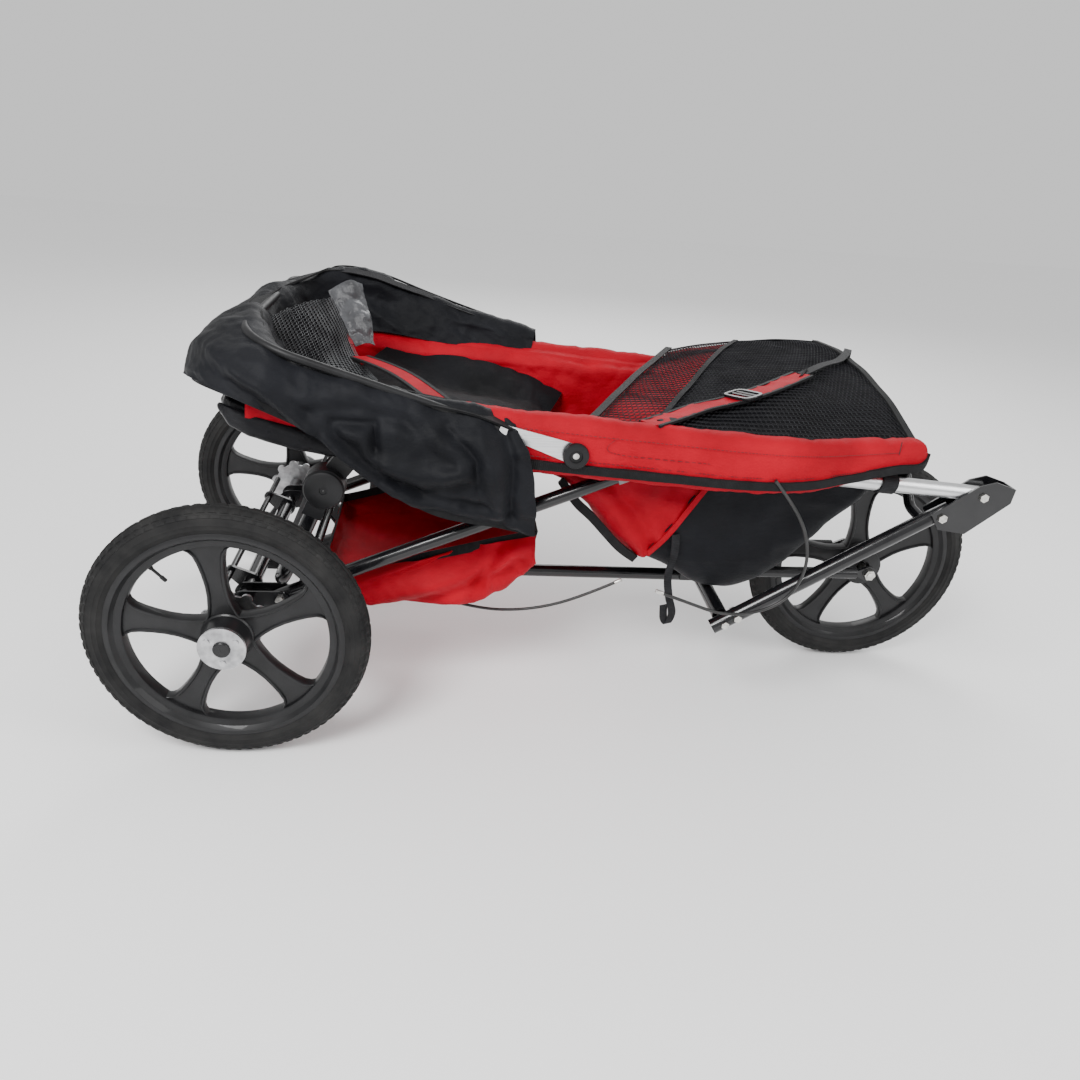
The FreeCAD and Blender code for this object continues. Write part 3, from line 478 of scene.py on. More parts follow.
def lofted(name, rows, material, closed_rows=False, closed_section=False, angle=35):
    """A skin over rows of points, welded where it closes on itself."""
    if closed_section:
        rows = [row + row[:1] for row in rows]
    if closed_rows:
        rows = rows + rows[:1]
    clear_selection()
    bpy.ops.mesh.primitive_grid_add(x_subdivisions=len(rows[0]) - 1, y_subdivisions=len(rows) - 1,
                                    size=1, calc_uvs=True)
    piece = bpy.context.object
    for vertex in piece.data.vertices:
        column = round((vertex.co.x + 0.5) * (len(rows[0]) - 1))
        row = round((vertex.co.y + 0.5) * (len(rows) - 1))
        vertex.co = rows[row][column]
    bpy.ops.object.mode_set(mode="EDIT")
    bpy.ops.mesh.select_all(action="SELECT")
    bpy.ops.mesh.remove_doubles(threshold=0.00002)
    bpy.ops.mesh.fill_holes(sides=0)
    bpy.ops.mesh.select_all(action="SELECT")
    bpy.ops.mesh.normals_make_consistent(inside=False)
    bpy.ops.object.mode_set(mode="OBJECT")
    return paint(smooth(named(name), angle), material)


def round_axle(centre, radius, offset, turn):
    """A place round a wheel's axle, its angle measured from forward towards up."""
    return centre + Vector((math.cos(turn) * radius, offset, math.sin(turn) * radius)) * MM


def turns(count):
    """Angles in equal steps round a circle."""
    return [math.tau * step / count for step in range(count)]


def turned(name, centre, profile, material, count=96, angle=35):
    """A closed profile of (radius, offset) turned about an axle."""
    rows = [[round_axle(centre, radius, offset, turn) for radius, offset in profile] for turn in turns(count)]
    return lofted(name, rows, material, closed_rows=True, closed_section=True, angle=angle)


# %% Tyre and rim
SECTION_CENTRE, SECTION_RADIUS, TREAD = 177, 21.4, 1.5
TYRE_STEPS, SPOKES, FIRST_SPOKE, STEM_TURN = 400, 5, 25, math.radians(133)
TYRE_COLUMNS = [-126, -118, -108, -104, -100, -90, -86, -82, -74, -62, -60, -49, -47, -41, -39, -27,
                -25, -19, -17, -9, -7]
TYRE_COLUMNS += [0] + [-column for column in reversed(TYRE_COLUMNS)]


def tread_height(column, step):
    """How far the tyre stands proud of its carcass at one place of its section."""
    lean = abs(column)
    if lean in (104, 86):
        return 0.7
    if lean <= 7:
        return TREAD if step % 8 != 7 else 0.3
    if 19 <= lean <= 25 or lean in (27, 39):
        return TREAD if (step + (2 if column > 0 else 0)) % 5 < 3 else 0.1
    if 49 <= lean <= 60:
        return TREAD * 0.9 if (step + (0 if column > 0 else 2)) % 5 < 4 else 0.0
    return 0.0


def make_tyre(name, centre):
    """The tyre's section, from bead to bead, turned about the axle with its tread."""
    rows = []
    for step, turn in enumerate(turns(TYRE_STEPS)):
        row = []
        for column in TYRE_COLUMNS:
            lean = math.radians(column)
            swell = SECTION_RADIUS + tread_height(column, step)
            row.append(round_axle(centre, SECTION_CENTRE + math.cos(lean) * swell,
                                  math.sin(lean) * swell, turn))
        rows.append(row)
    return lofted(name, rows, tyre_rubber, closed_rows=True, closed_section=True, angle=25)


RIM_PROFILE = [(165, -18), (161, -19.5), (157, -19), (155, -16), (152, -12.5), (145, -12), (142.5, -10.5),
               (141.5, -8), (141.5, 8), (142.5, 10.5), (145, 12), (152, 12.5), (155, 16), (157, 19),
               (161, 19.5), (165, 18)]
SPOKE_WIDTHS = [(20, 27), (30, 24), (38, 20.5), (50, 17.5), (66, 15), (82, 14.5), (100, 16), (116, 18.5),
                (128, 22), (135, 27), (139, 34), (143, 46)]


def make_rim(name, centre, outward):
    """A lipped ring, a stepped hub and waisted spokes with a rib along each edge."""
    face = 38 if outward else 35
    side = outward or -1
    ring = turned(name + "_ring", centre, RIM_PROFILE, rim_plastic, 160)
    hub = [(8, -35), (24, -35), (25.5, -33), (26, -14), (33, -11), (36, -9), (37, 9), (35, 11),
           (34, 20), (33.5, face - 1), (32, face), (13, face), (12.4, face - 9), (8, face - 9)]
    parts = [ring, turned(name + "_hub", centre, [(r, y * side) for r, y in hub], rim_plastic, 72)]
    for number in range(SPOKES):
        turn = math.radians(FIRST_SPOKE + 360 * number / SPOKES)
        ahead = Vector((math.cos(turn), 0, math.sin(turn))) * MM
        aside = Vector((-math.sin(turn), 0, math.cos(turn))) * MM
        rows = []
        for along, half in SPOKE_WIDTHS:
            rib = 4.2 if half < 40 else 5
            deep = 10.4 - 0.012 * along
            half_section = [(-half, deep - 2.4), (-half + 1, deep - 0.6), (-half + 2.6, deep),
                            (-half + rib, deep - 0.4), (-half + rib + 1.6, deep - 3.2),
                            (half - rib - 1.6, deep - 3.2), (half - rib, deep - 0.4), (half - 2.6, deep),
                            (half - 1, deep - 0.6), (half, deep - 2.4)]
            section = half_section + [(across, -out) for across, out in reversed(half_section)]
            rows.append([centre + ahead * along + aside * across + Vector((0, out, 0)) * MM
                         for across, out in section])
        parts.append(lofted("%s_spoke_%d" % (name, number), rows, rim_plastic, closed_section=True))
    return joined(name, parts)


# %% Wheels
WHEELS = [("left", (0, 303, 200), 1, "rim_left", "tyre_left"),
          ("right", (0, -303, 200), -1, "rim_right", "tyre_right"),
          ("front", (1057, 0, 200), 0, "front_rim", "front_tyre")]
for label, place, outward, rim_node, tyre_node in WHEELS:
    centre = from_axle(*place)
    body = "wheel_" + label
    wear(make_tyre("tread_tyre_" + label, centre), body, "tyre_rubber", tyre_node)
    wear(make_rim("moulded_rim_" + label, centre, outward), body, "rim_plastic", rim_node)
    aside = Vector((-math.sin(STEM_TURN), 0, math.cos(STEM_TURN)))
    stem_rows = []
    for radius, thick in ((143, 3.4), (138, 3.2), (137, 2.2), (122, 2.1), (121, 2.9), (113, 2.7), (112, 1.4)):
        stem_rows.append([round_axle(centre, radius, thick * math.sin(spin), STEM_TURN)
                          + aside * thick * math.cos(spin) * MM for spin in turns(10)])
    stem = lofted("valve_stem_" + label, stem_rows, moulded_plastic, closed_section=True)
    wear(stem, body, "black_plastic")
    if outward:
        cap = [(0.3, 46.4), (6, 46.2), (9.5, 45.2), (11.2, 43.4), (11.4, 41), (0.3, 41)]
        wear(turned("button_cap_" + label, centre, [(r, y * outward) for r, y in cap], gloss_plastic, 48),
             "button_" + label, "button_plastic")
    print(label, "wheel with", len(TYRE_COLUMNS), "columns of tread")

# %% [markdown]
# Cloth is made the way a pattern cutter drapes it: a few rows of points say where the panel hangs,
# and a fine grid is eased through them. Creases are then pushed in, as layers of ridged noise along
# the direction in which the cloth is slack. The wall comes last.

# %% Cloth helpers
def eased(points, t):
    """A place on a smooth line through points, for t from 0 to 1."""
    last = len(points) - 1
    place = min(max(t, 0.0), 1.0) * last
    index = min(int(place), last - 1)
    part = place - index
    before = points[max(index - 1, 0)]
    first, second = points[index], points[index + 1]
    after = points[min(index + 2, last)]
    return 0.5 * (first * 2 + (second - before) * part
                  + (before * 2 - first * 5 + second * 4 - after) * part ** 2
                  + (first * 3 - before - second * 3 + after) * part ** 3)


def ridge(place, scale, stretch=(1, 1, 1), seed=0.0):
    """Sharp-crested noise between -1 and 1, like the creases of a stiff cloth, sloping forward."""
    at = Vector((place.x * stretch[0], place.y * stretch[1], (place.z + 0.3 * place.x) * stretch[2])) * scale
    return 1 - 2.2 * abs(noise.noise(at + Vector((seed, seed * 1.7, -seed))))


def far_from(line, x, z):
    """How far a place in the side view is from a drawn line, in millimetres."""
    best = 1e9
    for (x0, z0), (x1, z1) in zip(line, line[1:]):
        run = (x1 - x0) ** 2 + (z1 - z0) ** 2
        part = min(max(((x - x0) * (x1 - x0) + (z - z0) * (z1 - z0)) / run, 0), 1)
        best = min(best, math.hypot(x - x0 - part * (x1 - x0), z - z0 - part * (z1 - z0)))
    return best


def gather(piece, side, folds, start=0.17):
    """Raise or sink drawn folds of (height, width, line) on one side of a cloth."""
    for vertex in piece.data.vertices:
        reach = min(max((vertex.co.y * side - start) / 0.04, 0), 1)
        if reach == 0:
            continue
        x, z = (vertex.co.x + REAR_AXLE) / MM, vertex.co.z / MM
        push = sum(height * math.exp(-(far_from(line, x, z) / width) ** 2)
                   for height, width, line in folds)
        vertex.co.y += side * push * reach * MM
    piece.data.update()


def crease(piece, layers, hold=None):
    """Push a cloth along its normals by layers of (millimetres, scale, stretch, seed)."""
    mesh = piece.data
    moved = []
    for vertex in mesh.vertices:
        push = sum(depth * ridge(vertex.co, scale, stretch, seed)
                   for depth, scale, stretch, seed in layers)
        if hold:
            push *= hold(vertex.co)
        moved.append(vertex.co + vertex.normal * push * MM)
    for vertex, place in zip(mesh.vertices, moved):
        vertex.co = place
    mesh.update()
    return piece


def line_length(points):
    """The length of a line through its points, in metres."""
    return sum((b - a).length for a, b in zip(points, points[1:]))


def panel(name, rows, lines, steps, material, layers=(), wall=1.4, hold=None, folds=None):
    """A cloth panel eased through rows of points, creased, then given its wall."""
    clear_selection()
    bpy.ops.mesh.primitive_grid_add(x_subdivisions=steps, y_subdivisions=lines, size=1,
                                    calc_uvs=True)
    piece = bpy.context.object
    length = max(line_length(row) for row in rows)
    width = max(line_length(column) for column in zip(*rows))
    for vertex in piece.data.vertices:
        along, across = vertex.co.x + 0.5, vertex.co.y + 0.5
        vertex.co = eased([eased(row, along) for row in rows], across)
    for loop in piece.data.uv_layers.active.data:
        loop.uv = (loop.uv[0] * length, loop.uv[1] * width)
    piece.data.update()
    piece = named(name)
    crease(piece, layers, hold)
    if folds:
        gather(piece, *folds)
    if wall:
        modify(piece, "SOLIDIFY", thickness=wall * MM, offset=0, use_quality_normals=True)
    return paint(smooth(piece, 60), material)


def ribbon(name, points, side, width, material, wall=1.6, steps=60, layers=()):
    """A flat tape along a line, its width in one direction or in one for each point."""
    sides = side if isinstance(side, list) else [side] * len(points)
    halves = [direction.normalized() * width * MM / 2 for direction in sides]
    rows = [[point + half for point, half in zip(points, halves)],
            [point - half for point, half in zip(points, halves)]]
    return panel(name, rows, 4, steps, material, layers, wall)


def tape(name, points, side, width, material, slot_name="black_cloth", wall=2.0, steps=90, layers=()):
    """A ribbon that rides on the rails."""
    return wear(ribbon(name, points, side, width, material, wall, steps, layers), "rails", slot_name)


def stitches(name, points, material, pitch=5.0, stitch=3.2, thick=0.45):
    """A run of sewing stitches along a line."""
    count = int(line_length(points) / MM / pitch)
    vertices, faces = [], []
    for index in range(count):
        start = eased(points, index / count)
        end = eased(points, (index + stitch / pitch) / count)
        run = (end - start).normalized()
        side = run.orthogonal().normalized() * thick * MM
        rise = run.cross(side).normalized() * thick * MM
        base = len(vertices)
        for place in (start, end):
            for corner in (side, rise, -side, -rise):
                vertices.append(place + corner)
        for edge in range(4):
            after = (edge + 1) % 4
            faces.append((base + edge, base + after, base + 4 + after, base + 4 + edge))
        faces.append((base + 3, base + 2, base + 1, base))
        faces.append((base + 4, base + 5, base + 6, base + 7))
    return paint(meshed(name, vertices, faces), material)


def cut(piece, held, *rests_on):
    """Hand back the cloth as it is."""
    return piece


black_thread = finish("black_thread", (0.01, 0.01, 0.01), 0.7,
                      (300, 2, (0.006, 0.006, 0.006), (0.02, 0.02, 0.02)))

# %% [markdown]
# The side bands are the red sleeves that the rails run through. Each is a long fold of cloth,
# taller than the rail, that lifts off it towards the front and ends in a rounded flap.

# %% Side bands
BAND_STATIONS = [(-612, 14), (-520, 11), (-420, 3), (-290, 0), (-165, -1), (-40, 0), (80, 1),
                 (170, 8), (240, 24), (300, 40), (338, 47), (347, 50)]
BAND_SECTION = [(207, -16), (206, 14), (212, 38), (226, 47), (241, 42), (249, 22), (250, -2), (248, -24),
                (243, -33), (236, -30)]
BAND_TAPER = 85  # the rise at which a band would have no height left
for side_name, side in SIDES:
    rows = []
    for along, rise in BAND_STATIONS:
        tall = 1.0 - rise / BAND_TAPER
        end = 0.25 if along > 340 else 1.0
        rows.append([on_rail(along, rise + above * tall * end + (1 - end) * 6,
                             side * (228 + (across - 228) * (0.55 + 0.45 * end)))
                     for across, above in BAND_SECTION])
    band = panel("side_band_" + side_name, rows, 190, 26, red_cloth,
                 [(2.0, 13, (1, 1, 1.6), 3.1), (1.5, 30, (1.6, 1, 0.4), 7.7), (0.5, 70, (1, 1, 1), 1.9)],
                 wall=1.6)
    wear(cut(band, "folded", "rail_tube_" + side_name), "rails", "red_cloth", "rail_sleeve_" + side_name)
    edge = [on_rail(along, rise - 20 * (1 - rise / BAND_TAPER), side * 254) for along, rise in BAND_STATIONS[3:-1]]
    edge.append(on_rail(350, 52, side * 246))
    tape("band_binding_" + side_name, edge, Vector((0, 0.1 * side, 1)), 13, binding_tape, wall=5.6,
         steps=150, layers=[(0.8, 20, (1, 1, 1), 2.2)])
    box = [on_rail(along, above, side * 254) for along, above in ((-112, 30), (-112, 8), (30, 8))]
    wear(stitches("band_box_seam_" + side_name, box, black_thread), "rails", "black_cloth")
    mark = [on_rail(along, above, side * 252) for along, above in ((300, 72), (301, 62), (302, 52))]
    wear(stitches("band_end_mark_" + side_name, mark, black_thread, pitch=3.4, stitch=3.0, thick=0.7), "rails",
         "black_cloth")
    for level, tag in ((30, "upper"), (-8, "lower")):
        seam = [on_rail(along, rise + level * (1 - rise / BAND_TAPER), side * 253.5)
                for along, rise in BAND_STATIONS[3:-2]]
        wear(stitches("band_seam_%s_%s" % (tag, side_name), seam, black_thread), "rails", "black_cloth")
print("side bands", round((STRUT_PIVOT - RAIL_PIVOT).length, 3), "m from pivot to pivot")

# %% [markdown]
# The cabin is one red trough between the bands. Folded, its rear lies shallow and its middle sags
# towards the keel; the black apron carries it on over the front wheel.

# %% Cabin and apron
CABIN_STATIONS = [  # place along the rails, floor at the sides and in the middle, forward lean
    (-560, -14, -18, 0), (-500, -34, -38, 0), (-380, -44, -48, 0), (-250, -50, -54, 0),
    (-165, -74, -78, 0.05), (-110, -120, -124, 0.15), (-62, -170, -174, 0.3), (-16, -196, -200, 0.5)]
APRON_STATIONS = [
    (-20, -194, -198, 0.5), (36, -214, -214, 0.32), (88, -236, -232, 0.12), (150, -234, -186, 0.04),
    (205, -196, -136, 0), (255, -128, -94, 0), (300, -66, -56, 0), (342, -18, -16, 0)]


def trough(floor, middle, rim):
    """Half of a section across the cabin, from the rim to the middle of the floor."""
    deep = floor - rim
    return [(214, rim), (192, rim - 7), (175, rim - 22), (174, rim + deep * 0.5), (172, rim + deep * 0.78),
            (158, rim + deep * 0.95), (120, floor + 3), (62, middle), (0, middle)]


def trough_rows(stations, rim):
    """Sections from side to side, one for each station along the rails."""
    rows = []
    for along, floor, middle, lean in stations:
        half = trough(floor, middle, rim)
        near = [on_rail(along + lean * (above - floor), above, -across) for across, above in half]
        far = [on_rail(along + lean * (above - floor), above, across) for across, above in reversed(half[:-1])]
        rows.append(near + far)
    return rows


CABIN_FOLDS = [
    (7, 11, [(520, 398), (580, 330), (612, 278)]), (-7, 9, [(548, 402), (604, 340), (630, 286)]),
    (6, 10, [(640, 372), (652, 356), (668, 300)]), (-5, 9, [(640, 418), (676, 372), (684, 320)]),
    (-6, 9, [(496, 372), (552, 316), (600, 280)]),
]
cabin = panel("cabin_cloth", trough_rows(CABIN_STATIONS, 36), 150, 150, red_cloth,
              [(4.5, 7, (1, 1, 2.2), 1.3), (2.2, 17, (1.6, 1, 1), 5.2), (0.8, 44, (1, 1, 1), 9.1)],
              wall=1.6, hold=lambda p: 0.35 if abs(p.y) > 0.196 else 1.0,
              folds=(-1, CABIN_FOLDS, 0.12))
wear(cut(cabin, "hung", "rail_tube_left", "rail_tube_right"), "rails", "red_cloth", "cabin_tub")
apron = panel("apron_cloth", trough_rows(APRON_STATIONS, 20), 110, 150, black_cloth,
              [(4.0, 9, (1, 1, 1.8), 4.4), (1.8, 24, (1, 1.5, 1), 8.2)], wall=1.8,
              hold=lambda p: 0.3 if abs(p.y) > 0.196 or p.x > 0.42 else 0.8)
wear(cut(apron, "hung", "rail_tube_left", "rail_tube_right"), "rails", "black_cloth", "front_apron")
for side_name, side in SIDES:
    edge_line = [on_rail(along, above, side * across) for along, above, across in
                 ((98, 26, 196), (88, 8, 181), (62, -44, 180), (36, -96, 180), (12, -144, 178), (-10, -184, 166))]
    tape("cabin_edge_" + side_name, edge_line, ALONG + Vector((0, 0, -0.4)), 9, red_cloth, "red_cloth",
         wall=5.0, steps=60)
    rear_line = [on_rail(along, above, side * across) for along, above, across in
                 ((-166, -72, 168), (-138, -104, 171), (-108, -128, 171), (-60, -172, 168), (-26, -196, 158))]
    tape("cabin_strap_" + side_name, rear_line, Vector((0.6, 0, 0.8)), 13, binding_tape, wall=9.0, steps=60)
print("cabin", len(cabin.data.polygons), "faces, apron", len(apron.data.polygons))

# %% [markdown]
# The basket is a soft red bag slung over the keel, with a black bound edge. It bulges between its
# corners and sags on the tube.

# %% Basket
BASKET_STATIONS = [(104, 204, 214), (122, 182, 218), (170, 174, 232), (240, 173, 254), (320, 174, 276),
                   (378, 196, 292), (424, 232, 303), (441, 252, 306)]
BASKET_FOLDS = [
    (9, 13, [(424, 292), (320, 236), (190, 186)]), (-8, 10, [(420, 262), (320, 206), (240, 180)]),
    (-8, 10, [(350, 286), (260, 246), (150, 206)]), (8, 11, [(300, 278), (220, 240), (130, 200)]),
    (7, 8, [(400, 284), (372, 240), (366, 196)]), (-6, 8, [(386, 284), (352, 236), (340, 190)]),
    (-6, 9, [(240, 262), (180, 232), (128, 214)]),
]
rows = []
for x, floor, rim in BASKET_STATIONS:
    half = [(168, rim), (176, rim * 0.7 + floor * 0.3), (178, rim * 0.35 + floor * 0.65),
            (166, floor + 8), (130, floor + 2), (60, floor), (0, floor - 1)]
    rows.append([from_axle(x, -y, z) for y, z in half]
                + [from_axle(x, y, z) for y, z in reversed(half[:-1])])
bag = panel("basket_cloth", rows, 120, 130, red_cloth,
            [(4.2, 9, (1, 1, 1.7), 2.2), (2.4, 22, (1.5, 1, 1), 6.1), (0.8, 50, (1, 1, 1), 1.1)], wall=1.8,
            hold=lambda p: 0.55 if p.z < 0.185 else 1.0, folds=(-1, BASKET_FOLDS, 0.13))
wear(cut(bag, "hung", "keel_tube"), "chassis", "red_cloth", "basket")
for side_name, side in SIDES:
    rim_line = [from_axle(x, side * 168, rim) for x, floor, rim in BASKET_STATIONS]
    wear(ribbon("basket_binding_" + side_name, rim_line, Vector((0, 0.3, 1)), 15, binding_tape, wall=3.4,
                layers=[(1.5, 16, (1, 1, 1), 2.0)]), "chassis", "black_cloth")
for end, (x, floor, rim) in (("front", BASKET_STATIONS[-1]), ("rear", BASKET_STATIONS[0])):
    line = [from_axle(x, y, rim - 6 * (1 - (y / 168) ** 2)) for y in (-168, -90, 0, 90, 168)]
    wear(ribbon("basket_binding_" + end, line, Vector((0.2, 0, 1)), 15, binding_tape, wall=3.4), "chassis",
         "black_cloth")
    wall_rows = [line, [from_axle(x, y, (rim + floor) / 2) for y in (-176, -90, 0, 90, 176)],
                 [from_axle(x, y, floor - 4) for y in (-162, -90, 0, 90, 162)]]
    wall = panel("basket_end_" + end, wall_rows, 24, 80, red_cloth, [(2.4, 18, (1, 1, 1), 3.0)], wall=1.6)
    wear(cut(wall, "hung", "basket_cloth"), "chassis", "red_cloth")

# %% [markdown]
# The front of the cabin is closed by a padded honeycomb mesh cover. Its openings are real: a sheet
# of hexagonal cells lies over a dark backing, so light catches each thread of the mesh.

# %% Mesh cover
COVER_HEIGHTS = [(-160, (-226, 38), (-120, 40), (0, 38), (120, 42), (226, 46)),
                 (16, (-226, 43), (-120, 62), (0, 66), (120, 60), (226, 50)),
                 (90, (-224, 46), (-120, 74), (0, 88), (120, 88), (226, 72)),
                 (180, (-222, 50), (-120, 84), (0, 102), (120, 106), (226, 92)),
                 (270, (-220, 56), (-120, 92), (0, 112), (120, 118), (224, 108)),
                 (338, (-216, 60), (-120, 92), (0, 112), (120, 120), (222, 112))]


def cover_height(along, across):
    """How far the cover stands above the rails at a place, between the rows it was measured on."""
    places = [(row[0], [above for _, above in row[1:]]) for row in COVER_HEIGHTS]
    stations = [across_at for across_at, _ in COVER_HEIGHTS[0][1:]]

    def between(values, keys, key):
        key = min(max(key, keys[0]), keys[-1])
        for low, high, first, second in zip(keys, keys[1:], values, values[1:]):
            if key <= high:
                return first + (second - first) * (key - low) / (high - low)
        return values[-1]

    columns = [between(heights, stations, across) for _, heights in places]
    return between(columns, [along_at for along_at, _ in places], along)


def cover_place(along, across, lift=0.0):
    """A place on the cover, or lifted off it."""
    return on_rail(along, cover_height(along, across) + lift, across)


def cover_rows(back, front, lift=0.0):
    """Rows over the cover between two slanting edges, each given by its near and far station."""
    rows = []
    for step in range(7):
        row = []
        for across in range(-224, 225, 56):
            share = (across + 224) / 448
            start = back[0] + (back[1] - back[0]) * share
            end = front[0] + (front[1] - front[0]) * share
            row.append(cover_place(start + (end - start) * step / 6, across, lift))
        rows.append(row)
    return rows


SIDE_EDGE, COVER_EDGE, FRONT_EDGE = (-150, 60), (-57, 185), (338, 338)
WRINKLES = [(3.2, 9, (1, 1, 1), 2.7)]
backing = panel("cover_backing", cover_rows(COVER_EDGE, FRONT_EDGE, -3), 60, 60, black_lining, WRINKLES,
                wall=1.6)
wear(cut(backing, "stretched", "side_band_left", "side_band_right"), "rails", "black_mesh", "mesh_cover")
gusset = panel("gusset_backing", cover_rows(SIDE_EDGE, COVER_EDGE, -6), 40, 60, red_cloth, WRINKLES, wall=1.6)
wear(cut(gusset, "stretched", "side_band_left", "side_band_right"), "rails", "red_cloth")


def honeycomb(name, rows, cell, span, material, layers):
    """A sheet of open hexagonal cells laid on a smooth surface, over spans of it."""
    length = line_length(rows[2]) / MM
    width = (rows[-1][len(rows[0]) // 2] - rows[0][len(rows[0]) // 2]).length / MM
    vertices, faces, known = [], [], {}
    across_cells = int(length / (cell * 1.5))
    along_cells = int(width / (cell * 0.866))
    reach_u, reach_v = cell * 0.6665 / length, cell * 0.5 / 0.866 / width

    def corner(u, v):
        key = (round(u * 20000), round(v * 20000))
        if key not in known:
            known[key] = len(vertices)
            vertices.append(eased([eased(row, u) for row in rows], v))
        return known[key]

    for i in range(across_cells):
        for j in range(along_cells):
            centre_u = (i + 0.5) / across_cells
            centre_v = (j + 0.5 + 0.5 * (i % 2)) / along_cells
            if not span(centre_u, centre_v):
                continue
            faces.append([corner(centre_u + math.cos(turn) * reach_u, centre_v + math.sin(turn) * reach_v)
                          for turn in turns(6)])
    piece = crease(meshed(name, vertices, faces), layers)
    modify(piece, "WIREFRAME", thickness=0.0011, use_even_offset=False)
    return paint(smooth(piece, 60), material)


mesh_thread = finish("mesh_thread", (0.012, 0.012, 0.014), 0.5,
                     (50, 4, (0.006, 0.006, 0.008), (0.022, 0.022, 0.026)), Specular_IOR_Level=0.2)


def whole(u, v):
    """Leave a narrow edge free, where the tape is sewn on."""
    return 0.01 < u < 0.99 and 0.02 < v < 0.985


comb = honeycomb("cover_mesh", cover_rows(SIDE_EDGE, FRONT_EDGE), 6.8, whole, mesh_thread, WRINKLES)
wear(comb, "rails", "black_mesh")
print("honeycomb", len(comb.data.polygons), "faces")

# %% [markdown]
# A red strap bound in black runs over the cover from the near band to a ladder-lock buckle, and
# its webbing tail goes on over the far edge to a second buckle. Narrow tape binds the cover.

# %% Cover trim
def cover_line(places, lift):
    """A line over the cover, lifted off it."""
    return [cover_place(along, across, lift) for along, across in places]


STRAP = [(-62, -222), (-20, -190), (22, -160), (60, -144), (96, -130), (154, -92), (217, -43)]
STRAP_SIDE = Vector((0.55, -0.83, 0.1))
tape("cover_strap", cover_line(STRAP, 5), STRAP_SIDE, 36, red_cloth, "red_cloth", 2.2, 120,
     [(1.6, 30, (1, 1, 1), 1.0)])
for tag, shift in (("near", 1), ("far", -1)):
    line = [place + STRAP_SIDE * shift * 18.5 * MM for place in cover_line(STRAP, 5.5)]
    tape("strap_binding_" + tag, line, STRAP_SIDE, 6, binding_tape, wall=3.8)
tail = cover_line([(214, -45), (262, -6), (305, 32)], 6)
tail += [on_rail(340, 124, 84), on_rail(362, 122, 128), on_rail(376, 96, 156), on_rail(380, 60, 170)]
tape("strap_tail", tail, Vector((0.6, -0.8, 0)), 15, webbing, "webbing")
tape("strap_end_bar", cover_line([(208, -58), (226, -30)], 8), Vector((0.8, 0.6, 0)), 9, binding_tape,
     wall=5.0, steps=16)
tape("patch_dark", cover_line([(-44, -214), (-14, -196), (14, -178)], 7.5), STRAP_SIDE, 17, black_lining,
     wall=1.6)
tape("gusset_binding", cover_rows(SIDE_EDGE, FRONT_EDGE, 2)[0], ALONG, 12, binding_tape, wall=3.0)
tape("cover_hem_rear", cover_rows(COVER_EDGE, FRONT_EDGE, 2)[0], ALONG, 9, black_lining, wall=2.6)
tape("cover_hem_front", cover_rows(COVER_EDGE, FRONT_EDGE, 1)[-1], ALONG, 11, binding_tape, wall=3.4)


# %% Buckles
def buckle(name, centre, ahead, aside, width, length, bars=(0.0,)):
    """A moulded ladder-lock: a rounded frame with cross bars, standing on the strap."""
    ahead, aside = ahead.normalized(), aside.normalized()
    up = ahead.cross(aside).normalized()
    rows = []
    for turn in turns(48):
        lengthways, sideways = math.cos(turn), math.sin(turn)
        reach = (abs(lengthways) ** 5 + abs(sideways) ** 5) ** -0.2
        lengthways, sideways = lengthways * reach, sideways * reach
        at = centre + (ahead * lengthways * length / 2 + aside * sideways * width / 2) * MM
        out = (ahead * lengthways / length + aside * sideways / width).normalized()
        rows.append([at + (out * a + up * b) * MM for a, b in
                     ((-2.4, -1.8), (2.4, -1.8), (3, 0), (2.2, 2.6), (0, 3.2), (-2.2, 2.6), (-3, 0))])
    parts = [lofted(name, rows, gloss_plastic, closed_rows=True, closed_section=True)]
    for number, shift in enumerate(bars):
        bar_rows = []
        for step in (-1, -0.5, 0, 0.5, 1):
            at = centre + (ahead * shift + aside * step * width / 2) * MM
            bar_rows.append([at + (ahead * a + up * b) * MM for a, b in
                             ((-3, 0), (-2, 2.4), (0, 3.4), (2, 2.4), (3, 0), (0, -1))])
        parts.append(lofted("%s_bar_%d" % (name, number), bar_rows, gloss_plastic, closed_section=True))
    return wear(joined(name, parts), "rails", "black_plastic")


run = cover_place(154, -92) - cover_place(60, -144)
buckle("strap_buckle", cover_place(96, -130, 10), run, STRAP_SIDE, 46, 34, (0.0, 9.0))
buckle("tail_buckle", on_rail(381, 52, 172), Vector((0.2, 0.1, -1)), Vector((0.6, -0.8, 0)), 24, 26)
print("strap", round(line_length(cover_line(STRAP, 5)) * 1000), "mm, tail",
      round(line_length(tail) * 1000), "mm")

# %% [markdown]
# The cover is closed at its sides by dark cloth and at its front by a black flap. Webbing loops go
# round the rails there, and a strap with a loose end hangs under the cabin.

